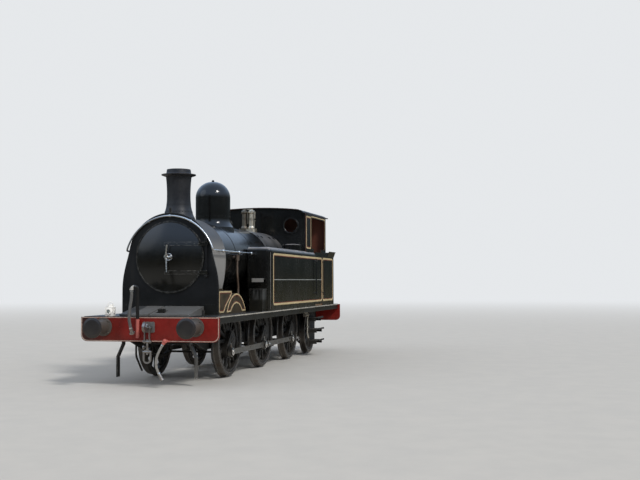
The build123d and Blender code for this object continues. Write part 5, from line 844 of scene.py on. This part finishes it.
# Wheels and rods
WHEELS = [
    # name, back, radius, studs in the rim
    ("leading", 2030.0, 692.0, 14), ("driving", 4240.0, 692.0, 14),
    ("rear_coupled", 6450.0, 692.0, 14), ("trailing", 8355.0, 565.0, 10),
]
RIM_STUDS_IN = 92
for name, back, radius, count in WHEELS:
    body = name + "_wheelset"
    studs, rings = Shape(), Shape()
    for side in SIDES:
        spots = circle(side * 900, back, radius, radius - RIM_STUDS_IN, turns(count, math.pi / count), True)
        rivets(studs, body, spots, (-side, 0, 0), 15)
        at, _ = surface(body, (side * 930, back, radius), (-side, 0, 0))
        if at is not None:
            hub = [(86, -1), (86, 5), (78, 8), (60, 8), (56, 2), (30, 2), (24, -1)]
            studs.lathe(at, (side, 0, 0), hub, 28)
        line = [(radius - 62, -1), (radius - 60, 1.5), (radius - 55, 1.5), (radius - 53, -1)]
        rings.lathe((side * 820, back, radius), (side, 0, 0), line, 72)
    studs.piece(name + "_wheel_studs", wheel_paint, "wheel_paint", body)
    rings.piece(name + "_tyre_rings", tyre_steel, "tyre_steel", body)

CRANK_THROW, KNUCKLE_BACK = 330, 4240 + 235
for side, word, angle in ((1, "left", 220.0), (-1, "right", 310.0)):
    shift = CRANK_THROW * math.cos(math.radians(angle))
    rise = CRANK_THROW * math.sin(math.radians(angle))
    rod = f"{word}_coupling_rod"
    corks = Shape()
    for name, back, radius, _ in WHEELS[:3]:
        pin = (side * 967, back + shift, radius + rise)
        cap = Shape()
        cap.lathe(pin, (side, 0, 0), [(70, -2), (70, 3), (62, 6), (36, 6)], 28)
        cap.nut(pin, (side, 0, 0), 38, 16)
        cap.piece(f"{word}_{name}_pin_nut", bright_steel, "bright_steel", name + "_wheelset")
        at, _ = surface(rod, (side * 915, back + shift, radius + rise + 400), DOWN)
        if at is not None:
            corks.boss(at, UP, [(15, -1), (15, 5), (9, 8), (9, 18), (4, 21)], 14)
    rivets(corks, rod, [(side * 990, KNUCKLE_BACK + shift, 692 + rise)], (-side, 0, 0), 26, nut=True)
    corks.piece(f"{word}_rod_fittings", bright_steel, "bright_steel", rod)

riveted("spring_bolts", chassis_paint, "black_matt", [
    ("axle_springs", grid(700, (back - 26, back + 26), (radius - 300, radius - 266)), INWARD, 10)
    for _, back, radius, _ in WHEELS
], SIDES)


# Smokebox, boiler and what stands on it: six pieces here stand for their nodes, nearer to the photograph
BOILER_UP, DRUM_RADIUS, STACK_BACK, DOME_BACK = 2290.0, 770, 1380, 3300


def between_rows(rows, value):
    """Straight-line reading of a table of value and result."""
    for (low, first), (high, last) in zip(rows, rows[1:]):
        if value <= high:
            share = max(0.0, (value - low) / (high - low))
            return first + (last - first) * share
    return rows[-1][1]


def reshaped(node, name, material, move):
    """A copy of a node's mesh with its points moved, which stands for the node."""
    mesh = nodes[node].data.copy()
    for vertex in mesh.vertices:
        vertex.co = place(move(on_engine(vertex.co)))
    mesh.materials.clear()
    mesh.materials.append(material)
    made = linked(name, mesh)
    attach(made, "engine")
    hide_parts(node)
    shown[node] = made


# Chimney flare: height, added radius
FLARE = [(2900, 20), (2970, 20), (3050, 26), (3120, 36), (3180, 42), (3244, 35), (3340, 20), (3555, 11),
         (3835, 0), (3860, 16), (3882, 16), (3884, 0)]


def flared(at):
    reach = math.hypot(at.x, at.y - STACK_BACK)
    if reach < 190:
        return at
    grown = (reach + between_rows(FLARE, at.z)) / reach
    on_drum = abs(math.hypot(at.x, at.z - BOILER_UP) - DRUM_RADIUS) < 3
    x, back = at.x * grown, STACK_BACK + (at.y - STACK_BACK) * grown
    return (x, back, BOILER_UP + math.sqrt(DRUM_RADIUS ** 2 - x ** 2) if on_drum else at.z)


def raised(at):
    wide = 1 + 0.02 * min(1, max(0, (at.z - 3060) / 95))
    lift = 60 * min(1, max(0, (at.z - 3155) / 375))
    return (at.x * wide, DOME_BACK + (at.y - DOME_BACK) * wide, at.z + lift)


reshaped("chimney", "chimney_casting", chimney_paint, flared)
reshaped("dome", "dome_casing", boiler_paint, raised)

PLATE_BACK, PLATE_FRONT, PLATE_RADIUS, PLATE_HALF, PLATE_FOOT = 975.0, 955.0, 832.0, 960.0, 1215


def plate_edge_points(inset):
    """Right half of the front plate's outline from its top to its foot, as (across, up)."""
    half = [Vector((x, up)) for x, _, up in circle(0, 0, BOILER_UP, PLATE_RADIUS - inset, sweep(90, 8, 24))]
    low = Vector((PLATE_HALF - inset, 1700))
    pulls = (half[-1], Vector((870 - inset, 2200)), Vector((955 - inset, 2000)), low)
    for i in range(1, 13):
        k = i / 12
        shares = ((1 - k) ** 3, 3 * k * (1 - k) ** 2, 3 * k * k * (1 - k), k ** 3)
        half.append(sum((p * w for p, w in zip(pulls, shares)), Vector((0, 0))))
    return half + [Vector((PLATE_HALF - inset, up)) for up in (1575, 1455, 1335)]


def plate_ring(inset, back):
    half = plate_edge_points(inset) + [Vector((PLATE_HALF - inset, PLATE_FOOT))]
    one = half + [Vector((x, PLATE_FOOT)) for x in (600, 300, 0)]
    other = [Vector((-p.x, p.y)) for p in one[1:-1]][::-1]
    return [(p.x, back, p.y) for p in one + other]


rims = [plate_ring(4, PLATE_FRONT), plate_ring(0, PLATE_FRONT + 4), plate_ring(0, PLATE_BACK)]
angles = [math.atan2(up - BOILER_UP, x) for x, _, up in rims[0]]
near, far = (circle(0, back, BOILER_UP, 630, angles) for back in (PLATE_FRONT, PLATE_BACK))
plate = Shape()
plate.rings([near, *rims, far, near])
for low, high in ((1908, 1952), (2578, 2622)):
    plate.block((702, 885, low), (754, 955, high), 4)
plate.lathe((728, 911, 1905), UP, [(15, 0), (15, 720)], 20, True, True)
plate.boss((728, 911, 2622), UP, [(24, 0), (24, 8), (16, 14)], 20)
front_sheet = plate.piece("smokebox_front_plate", front_plate_paint, "black_matt")
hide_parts("smokebox_front")
shown["smokebox_front"] = front_sheet

# Handrail over the door, joined at both ends to the side rails
ARCH_UP, ARCH_RADIUS, ARCH_BACK, RAIL_TOP = 2169.0, 891.0, 924.0, 2410
first = math.degrees(math.asin((RAIL_TOP - ARCH_UP) / ARCH_RADIUS)) + 2.5
bend = [(858, 1040, 2410), (858, 1000, 2410), (858, 965, 2411), (856, 940, 2417), (852, 928, 2430)]
arch = circle(0, ARCH_BACK, ARCH_UP, ARCH_RADIUS, sweep(first, 180 - first, 56))
rail = Shape()
rail.tube(bend + arch + [(-x, back, up) for x, back, up in bend[::-1]], 17, 14)
pillar = [(24, 0), (24, 5), (11, 9), (11, 16), (20, 20), (25, 30), (25, 36), (18, 44), (6, 47)]
for at in circle(0, 956, ARCH_UP, ARCH_RADIUS, sweep(62, 118, 2)):
    rail.boss(at, FORWARD, pillar, 18)
front_rail = rail.piece("front_rail", arch_steel, "bright_steel")
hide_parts("front_handrail")

# Cab front with its two round windows wider apart, on the node's own outline
CAB_FACE, CAB_REAR, WINDOW_RADIUS = 6500.0, 6512.0, 170.0


def face_loops(node, back):
    """Closed outlines of a node's flat faces that lie across the engine at a distance back."""
    mesh, edges = nodes[node].data, []
    spots = [tuple(round(c * 1000, 1) for c in v.co) for v in mesh.vertices]
    level_at = round(back - MIDDLE_BACK, 1)
    for face in mesh.polygons:
        corners = [spots[i] for i in face.vertices]
        if all(abs(c[1] - level_at) < 0.3 for c in corners):
            for a, b in zip(corners, corners[1:] + corners[:1]):
                if (b, a) in edges:
                    edges.remove((b, a))
                else:
                    edges.append((a, b))
    after = dict(edges)
    loops = []
    while after:
        loop, here = [], next(iter(after))
        while here in after:
            loop.append((here[0], here[2] - RAIL_UP))
            here = after.pop(here)
        loops.append(loop)
    return loops


def around_window(x, reach, back):
    return circle(x, back, SPECTACLE_UP, reach, turns(48))


def is_window(loop):
    """True for a loop round one of the part's own windows, which the plate leaves out."""
    return max(abs(abs(x) - SPECTACLE_PART_X) + abs(up - SPECTACLE_UP) for x, up in loop) <= 300


loops = [loop for loop in face_loops("cab_front", CAB_FACE) if len(loop) > 2 and not is_window(loop)]
windows = [[(x, up) for x, _, up in around_window(side * SPECTACLE_X, WINDOW_RADIUS, 0)] for side in SIDES]
flat = [[Vector((x, up, 0)) for x, up in loop] for loop in loops + windows]
filled = tessellate_polygon(flat)
spots = [p for loop in flat for p in loop]
cab_plate = Shape()
for back in (CAB_FACE, CAB_REAR):
    faces = []
    for face in filled:
        a, b, c = (spots[i] for i in face)
        faces.append(list(face) if ((b - a).cross(c - a).z > 0) == (back == CAB_FACE) else list(face)[::-1])
    cab_plate.add([(p.x, back, p.y) for p in spots], faces)
for outlines, order in ((loops, (CAB_REAR, CAB_FACE)), (windows, (CAB_FACE, CAB_REAR))):
    for loop in outlines:
        cab_plate.rings([[(x, back, up) for x, up in loop] for back in order])
RING = [(164, 1), (196, 1), (196, -14), (192, -17), (168, -17), (164, -14), (164, 1)]
for side in SIDES:
    cab_plate.rings([around_window(side * SPECTACLE_X, reach, CAB_FACE + along) for reach, along in RING])
cab_sheet = cab_plate.piece("cab_front_plate", cab_front_paint, "black_gloss")
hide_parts("cab_front")
shown["cab_front"] = cab_sheet


def wider(at):
    moved = math.copysign(SPECTACLE_X - SPECTACLE_PART_X, at.x) if at.y < 7500 else 0
    return (at.x + moved, at.y, at.z)


reshaped("window_glass", "window_panes", window_glass, wider)

edge, spots, gone = plate_edge_points(24) + [Vector((PLATE_HALF - 24, 1235))], [], 0.0
for start, end in zip(edge, edge[1:]):
    stretch = (end - start).length
    while gone < stretch:
        spot = start.lerp(end, gone / stretch)
        spots += [(side * spot.x, 900, spot.y) for side in SIDES]
        gone += 58.0
    gone -= stretch
spots += [(side * x, 900, 1400) for side in SIDES for x in steps(660, 880, 55)]
riveted("front_plate_rivets", front_plate_paint, "black_matt", [("smokebox_front", spots, REARWARD, 9)])

rows = []
for back in (1004, 1050, 1836, 1878):
    for a in sweep(-24, 204, 59):
        rows.append(("smokebox", circle(0, back, BOILER_UP, 1000, [a]), (-math.cos(a), 0, -math.sin(a)), 8))
for side in SIDES:
    rows.append(("smokebox", grid(side * 1000, steps(1090, 1800, 64), 1560), (-side, 0, 0), 8))
riveted("smokebox_rivets", smokebox_paint, "black_matt", rows)

riveted("door_strap_bolts", door_paint, "black_gloss", [
    ("smokebox_door", grid((20, 190, 360, 500, 590), 700, (2000, 2530)), REARWARD, 13),
    ("smokebox_door", circle(0, 700, BOILER_UP, 62, turns(4, math.pi / 4)), REARWARD, 9),
], body="smokebox_door")

door_bead = Shape()
door_bead.lathe((0, 931, BOILER_UP), FORWARD, [(672, -1), (670, 5), (662, 7), (654, 5), (652, -1)], 96)
door_bead.piece("door_rim_bead", door_paint, "black_gloss", "smokebox_door")

handwheel = Shape()
hub = (58, 752, 2284)
handwheel.tube(circle(*hub, 62, turns(28)), 8, 10, closed=True)
for rim_end in circle(*hub, 60, turns(3, 0.5)):
    handwheel.tube([hub, rim_end], 6, 8)
spindle = [(24, 0), (24, 8), (12, 14), (12, 48), (20, 52), (20, 64), (12, 68)]
handwheel.boss((hub[0], 810, hub[2]), FORWARD, spindle, 18)
handwheel.piece("door_handwheel", bright_steel, "bright_steel", "smokebox_door")

rows = []
for a in turns(28):
    for node, middle, reach in (("chimney", STACK_BACK, 322), ("dome", DOME_BACK, 412)):
        start = (reach * math.cos(a), middle + reach * math.sin(a), 3330)
        rows.append((node, [start], (-0.35 * math.cos(a), -0.35 * math.sin(a), -1), 9))
riveted("stack_base_rivets", boiler_paint, "black_gloss", rows)

stack_rings = Shape()
stack_rings.lathe((0, STACK_BACK, 3840), UP, [(252, -2), (266, 0), (270, 6), (266, 12), (252, 14)], 48)
stack_rings.piece("chimney_bead", chimney_paint, "black_matt")

plugs = Shape()
for back in (5060, 5340, 5980, 6320):
    for a in sweep(128, 52, 1):
        start = circle(0, back, BOILER_UP, 1100, [a])[0]
        at, normal = surface("firebox", start, (-math.cos(a), 0, -math.sin(a)))
        if at is not None:
            plugs.lathe(at, normal, [(44, -2), (44, 5), (38, 9), (27, 9), (25, 3), (14, 3)], 20)
            plugs.boss(at, normal, [(15, 1), (15, 16), (12, 19)], 4)
plugs.piece("washout_plugs", boiler_paint, "black_gloss")

band_spots = grid((60, -60), (1935, 2740, 3860, 4915), BOILER_UP + 1000)
riveted("band_screws", boiler_paint, "black_gloss", [("boiler_barrel", band_spots, DOWN, 9)])

lever = Shape()
rivets(lever, "safety_valves", grid((-170, 170), (5615, 5785), 3300), DOWN, 15, nut=True)
lever.block((-128, 5690, 3440), (128, 5710, 3460), 4)
lever.tube([(0, 5700, 3440), (0, 5700, 3180)], 11)
lever.tube([(0, 5700, 3452), (0, 5900, 3448), (0, 6120, 3436)], [9, 8, 7])
lever.piece("valve_lever", polished_brass, "polished_brass")

irons = Shape()
for x, back in ((-800, 216), (990, 60), (-800, 9786), (0, 9786), (800, 9786)):
    irons.block((x - 24, back - 5, 1215), (x + 24, back + 5, 1335), 3)
    irons.block((x - 24, back - 26, 1215), (x + 24, back + 26, 1224), 3)
top, _ = surface("smokebox_front", (0, 965, 3400), DOWN)
if top is not None:
    irons.block((-24, 960, top.z - 2), (24, 970, top.z + 92), 3)
irons.piece("lamp_irons", chassis_paint, "black_matt")


# Tanks, bunker and cab
riveted("tank_rivets", tank_paint, "black_gloss", [
    ("side_tanks", grid((1150, 770), steps(3470, 7220, 88), 2700), DOWN, 8),
    ("side_tanks", grid(steps(800, 1120, 64), (4700, 6560), 2700), DOWN, 8),
    ("side_tanks", grid(1300, steps(3440, 7270, 96), 1240), INWARD, 7),
    ("side_tanks", grid((765, 1150), 3300, steps(1260, 2450, 85)), REARWARD, 7),
], SIDES)

# Painted highlight: a pale grey strip down each tank front's outer corner
corner_highlight = Shape()
corner_highlight.strip([(1233, 3400, 1250), (1233, 3400, 2440)], FORWARD, 9, 1.0, closed=False)
corner_highlight.both().piece("tank_corner_highlight", smokebox_paint, "black_gloss")

rows = [("bunker", grid(side * 1300, steps(8060, 9380, 94), 1240), (-side, 0, 0), 7) for side in SIDES]
spots = grid((-1196, -640, 0, 640, 1196), 9480, steps(1250, 2420, 78))
spots += grid(steps(-1150, 1150, 88), 9480, 1240)
riveted("bunker_rivets", body_paint, "black_gloss", rows + [("bunker", spots, FORWARD, 7)])
riveted("cab_rivets", body_paint, "black_gloss", [
    ("cab_sides", grid(1300, steps(6540, 8580, 68), 3436), INWARD, 7),
    ("cab_sides", grid(1300, (6530, 8584), steps(2640, 3380, 74)), INWARD, 7),
], SIDES)
rows = [("cab_roof", grid(steps(-1180, 1180, 66), (6392, 6980, 8080, 8770), 3900), DOWN, 7)]
riveted("roof_rivets", roof_paint, "black_matt", rows)

rows = []
for node, x, back, way in (
    ("cab_front", SPECTACLE_X, 6400, REARWARD),
    ("cab_back", SPECTACLE_PART_X, 8700, FORWARD),
):
    for side in SIDES:
        rows.append((node, circle(side * x, back, SPECTACLE_UP, 181, turns(10, math.pi / 10)), way, 7))
riveted("window_ring_screws", body_paint, "black_gloss", rows)

rows = []
for low, high in ((-646, -142), (-62, 646)):
    rows.append(("front_casing", grid(steps(low, high, 70), (250, 925), 1600), DOWN, 8))
    rows.append(("front_casing", grid((low, high), steps(320, 860, 68), 1600), DOWN, 8))
riveted("casing_rivets", casing_paint, "casing_grey", rows)

oiler = Shape()
oiler.block((22, 338, 1240), (150, 404, 1330), 5)
oiler.block((17, 333, 1330), (155, 409, 1342), 4)
for x in (50, 86, 122):
    oiler.boss((x, 371, 1342), UP, [(9, -1), (9, 5), (5, 8)], 12)
    oiler.tube([(x, 400, 1262), (x, 440, 1290), (x, 560, 1312)], 5, 8)
oiler.piece("casing_oil_box", front_plate_paint, "black_matt")


# Lining: a straw line with a thin red one inside it, on flat panels
RED_WIDTH, MIDDLE_LINE = 13.0, 1866.0
LOW, HIGH, CORNER = 1345.0, 2405.0, 60.0
TANK_SIDE, CAB_SIDE, SPLASHER_SIDE = 1240.0, 1200, 945
SPLASH_BACK, SPLASH_UP, SPLASH_FOOT = 2030, 952, 1262.0


class Lining:
    """A pair of shapes, the straw lines and the red ones."""

    def __init__(self):
        self.straws, self.reds = Shape(), Shape()

    def panel(self, outline, normal, inward, closed=True, width=44.0):
        """One lined outline; inward is 1 or -1, the side the red line lies on."""
        self.straws.strip(outline, normal, width, 1.6, closed)
        shift = inward * (width / 2 + RED_WIDTH / 2 + 2)
        self.reds.strip(outline, normal, RED_WIDTH, 1.3, closed, shift)

    def side_panel(self, outline, x, inward=1, closed=True, width=44.0):
        self.panel([(x, back, up) for back, up in outline], OUTWARD, inward, closed, width)


# The grey middle line is a painted reflection of the horizon
def middle_line(start, end):
    line = Shape()
    line.strip(grid(TANK_SIDE, (start, end), MIDDLE_LINE), OUTWARD, 16, 1.4, closed=False)
    return line


def arch_line(reach, to_front):
    """One of the splasher's arcs over its wheel, from foot to foot, towards the front or away from it."""
    rise = math.degrees(math.asin((SPLASH_FOOT - SPLASH_UP) / reach))
    ends = (rise, 180 - rise) if to_front else (180 - rise, rise)
    return [(back, up) for _, back, up in circle(0, SPLASH_BACK, SPLASH_UP, reach, sweep(*ends, 32), True)]


body = Lining()
tank_panel = rounded([(7299, LOW), (3600, LOW), (3600, HIGH), (7299, HIGH)], CORNER, closed=False)
body.side_panel(tank_panel, TANK_SIDE, -1, False)
bunker_panel = rounded([(8088, LOW), (9225, LOW), (9225, HIGH), (8088, HIGH)], CORNER)
body.side_panel(bunker_panel, TANK_SIDE)
cab_panel = rounded([(6570, 2635), (7010, 2635), (7010, 3392), (6570, 3392)], 40)
body.side_panel(cab_panel, CAB_SIDE, width=36)
over_opening = rounded([(7060, 3412), (8508, 3412), (8508, 2650)], 50, closed=False)
body.straws.strip([(CAB_SIDE, back, up) for back, up in over_opening], OUTWARD, 40, 1.6, closed=False)
corners = [(1040, 1262), (1276, 1262), (1386, 1372), (1620, 1520), (1772, 1632), (1040, 1636)]
body.side_panel(rounded(corners, 22), SPLASHER_SIDE, width=26)
body.side_panel(arch_line(632, True) + arch_line(470, False), SPLASHER_SIDE, width=28)
body.straws.both().piece("body_lining_straw", lining_straw, "black_gloss")
body.reds.both().piece("body_lining_red", lining_red, "black_gloss")
middle_line(3636, 7299).both().piece("tank_middle_lines", horizon_reflection_grey, "black_gloss")

leaf_panel = rounded([(7309, HIGH), (7980, HIGH), (7980, LOW), (7309, LOW)], CORNER, closed=False)
for word in ("left", "right"):
    door = Lining()
    door.side_panel(leaf_panel, TANK_SIDE, -1, False)
    latch = Shape()
    latch.boss((1240, 7362, 2340), OUTWARD, [(17, -1), (17, 3), (12, 5), (7, 5), (7, 16)], 16)
    latch.tube([(1254, 7362, 2340), (1256, 7400, 2338), (1254, 7440, 2334)], [7, 6, 5], 8)
    for shape, name, paint, slot in (
        (middle_line(7309, 7944), "middle_line", horizon_reflection_grey, "black_gloss"),
        (door.straws, "lining_straw", lining_straw, "black_gloss"),
        (door.reds, "lining_red", lining_red, "black_gloss"),
        (latch, "latch", polished_brass, "polished_brass"),
    ):
        on_its_side = shape if word == "left" else shape.mirrored()
        on_its_side.piece(f"{word}_door_{name}", paint, slot, f"{word}_cab_door")

rear = Lining()
panel = rounded([(-1150, LOW), (1150, LOW), (1150, HIGH), (-1150, HIGH)], CORNER)
rear.panel([(x, 9420, up) for x, up in panel], REARWARD, -1)
rear.straws.piece("rear_lining_straw", lining_straw, "black_gloss")
rear.reds.piece("rear_lining_red", lining_red, "black_gloss")


# Headlamp
LAMP_X, LAMP_BACK, LAMP_UP, BAIL_UP = -800.0, 126.0, 1299.0, 1376
lamp_lens = Shape()
profile = [(37, -1), (34, 6), (26, 11), (14, 14), (4, 15)]
lamp_lens.lathe((LAMP_X, 44, LAMP_UP), FORWARD, profile, 32, close_start=True, close_end=True)
lamp_lens.piece("lamp_lens", lamp_glass, "window_glass")
bezel = Shape()
bezel.lathe((LAMP_X, 38, LAMP_UP), FORWARD, [(57, -2), (57, 4), (52, 7), (38, 7), (36, 3), (36, -4)], 36)
bezel.boss((LAMP_X, 52, LAMP_UP), FORWARD, [(46, 0), (30, -8), (12, -10)], 24)
bail = [(LAMP_X + 66 * math.cos(a), LAMP_BACK, BAIL_UP + 92 * math.sin(a)) for a in sweep(0, 180, 16)]
bezel.tube(bail, 4.5, 8)
bezel.boss((LAMP_X, LAMP_BACK, 1420), UP, [(40, 0), (44, 4), (40, 10), (18, 16)], 24)
for side in SIDES:
    bezel.boss((LAMP_X + side * 70, LAMP_BACK, BAIL_UP), (side, 0, 0), [(12, 0), (12, 5), (7, 8)], 12)
bezel.block((LAMP_X + 72, 96, 1262), (LAMP_X + 82, 156, 1330), 3)
bezel.piece("lamp_fittings", lamp_paint, "lamp_white")


# Backhead fittings, seen through the cab's openings
BACKHEAD = 6700.0
gauges, dials, marks = Shape(), Shape(), Shape()


def on_dial(at, reach, lift, degrees):
    """A point on a gauge's face; the angle is from the top, clockwise."""
    a = math.radians(degrees)
    return at + Vector((reach * math.sin(a), lift, reach * math.cos(a)))


for x in (-330, 330):
    at, _ = surface("cab_controls", (x, 7100, 2760), FORWARD)
    if at is None:
        continue
    gauges.lathe(at, REARWARD, [(86, -4), (86, 6), (80, 10), (72, 8), (71, 1)], 36)
    dials.boss(at, REARWARD, [(72, 1.5), (40, 2.0), (4, 2.2)], 36)
    for k in range(11):
        marks.tube([on_dial(at, reach, 3.2, -135 + 27 * k) for reach in (54, 66)], 1.6, 4)
    marks.tube([on_dial(at, reach, 4.5, 48) for reach in (-14, 52)], [3, 1.2], 5)
dials.piece("gauge_faces", dial_face, "cab_fittings")
marks.piece("gauge_marks", dial_ink, "cab_fittings")


def behind(rows):
    """Points whose distance back is counted from the backhead."""
    return [(x, BACKHEAD + off, up) for x, off, up in rows]


for x in (-150, 150):
    for up in (2620, 2400):
        gauges.tube(behind([(x, -2, up), (x, 62, up)]), 15, 12)
        gauges.boss((x, BACKHEAD, up), REARWARD, [(30, -1), (30, 9), (24, 12)], 16)
        gauges.nut((x, BACKHEAD + 58, up), REARWARD, 22, 14)
    gauges.tube(behind([(x, 50, 2410), (x, 50, 2610)]), 8, 10)
for side in SIDES:
    gauges.tube(behind([(side * 50, 30, 2930), (side * 250, 40, 2860), (side * 330, 40, 2840)]), 9, 10)
for x, low_x in ((-420, -420 * 1.12), (420, 420 * 1.12)):
    gauges.tube(behind([(x, 60, 2130), (x, 70, 1900), (low_x, 110, 1560), (low_x, 120, 1270)]), 17, 12)
gauges.piece("backhead_brasswork", polished_brass, "polished_brass")

firehole = Shape()
for side, low, high in ((-1, -170, -8), (1, 8, 170)):
    firehole.block((low, BACKHEAD + 46, 1850), (high, BACKHEAD + 62, 2070), 8)
    handle = [(side * 60, off, up) for off, up in ((60, 1990), (96, 1990), (96, 1930), (60, 1930))]
    firehole.tube(behind(handle), 8, 8)
for up in (1832, 2080):
    firehole.block((-330, BACKHEAD + 40, up), (330, BACKHEAD + 70, up + 20), 4)
rivets(firehole, "firebox", circle(0, 7200, BOILER_UP, 560, sweep(-40, 220, 27)), FORWARD, 12)
firehole.piece("firehole_doors", cab_fittings, "cab_fittings")


# Floor, world and light
FLOOR_HALF = 400.0
floor_mesh = bpy.data.meshes.new("studio_floor")
corners = [(FLOOR_HALF * x, FLOOR_HALF * y, 0) for x, y in ((-1, -1), (1, -1), (1, 1), (-1, 1))]
floor_mesh.from_pydata(corners, [], [(0, 1, 2, 3)])
ground = linked("studio_floor", floor_mesh)

BACKGROUND = (0.79, 0.81, 0.83)
FIELD = (0.080, 0.076, 0.046)
LIT = (0.50, 0.51, 0.53)
TREES = (0.030, 0.038, 0.034)
HAZE = (0.34, 0.42, 0.50)
SKY = (0.74, 0.99, 1.40)

pale = Finish("studio_floor", (0.60, 0.59, 0.565), 0.85, level=0.2, mottle=0.03, fine=3.0)
pale.done()
ray = pale.add("ShaderNodeLightPath").outputs
tone = pale.mix(ray["Is Camera Ray"], FIELD, BACKGROUND)
glow = pale.add("ShaderNodeEmission", {"Color": tone}).outputs[0]
distance = pale.add("ShaderNodeVectorMath", (pale.here,), operation="LENGTH").outputs["Value"]
fade = pale.times(pale.span(distance, 14.0, 75.0), ray["Is Camera Ray"])
glossy_fade = pale.times(pale.span(distance, 2.5, 24.0), ray["Is Glossy Ray"])
share = pale.maths("MAXIMUM", fade, glossy_fade)
joined = pale.add("ShaderNodeMixShader", (share, pale.shader.outputs[0], glow))
pale.feed(pale.tree.nodes["Material Output"].inputs["Surface"], joined.outputs[0])
floor_mesh.materials.append(pale.material)

world = bpy.data.worlds.new("studio")
scene.world = world
world.use_nodes = True
sky = Nodes(world.node_tree)
ray = sky.add("ShaderNodeLightPath").outputs
slope = sky.along("Z", sky.add("ShaderNodeTexCoord").outputs["Generated"])
colour = sky.mix(sky.span(slope, 0.0, 0.26), TREES, HAZE)
colour = sky.mix(sky.span(slope, 0.15, 0.5), colour, SKY)
colour = sky.mix(ray["Is Glossy Ray"], LIT, colour)
colour = sky.mix(ray["Is Transmission Ray"], colour, BACKGROUND)
colour = sky.mix(ray["Is Camera Ray"], colour, BACKGROUND)
backdrop = sky.tree.nodes["Background"]
sky.feed(backdrop.inputs["Color"], colour)
backdrop.inputs["Strength"].default_value = 1.0

LAMPS = [
    # name, direction it comes from, strength, width in degrees, colour
    ("key", (0.78, -0.50, 0.86), 1.75, 11.0, (1.0, 0.965, 0.91)),
    ("fill", (-0.9, -0.55, 0.55), 0.28, 40.0, (0.92, 0.96, 1.0)),
]
for name, source, strength, width, colour in LAMPS:
    sun = bpy.data.lights.new(name, "SUN")
    sun.energy = strength
    sun.angle = math.radians(width)
    sun.color = colour
    lamp = linked(name, sun)
    lamp.rotation_mode = "QUATERNION"
    lamp.rotation_quaternion = Vector(source).to_track_quat("Z", "Y")

scene.view_settings.view_transform = "Standard"

bpy.context.view_layer.update()
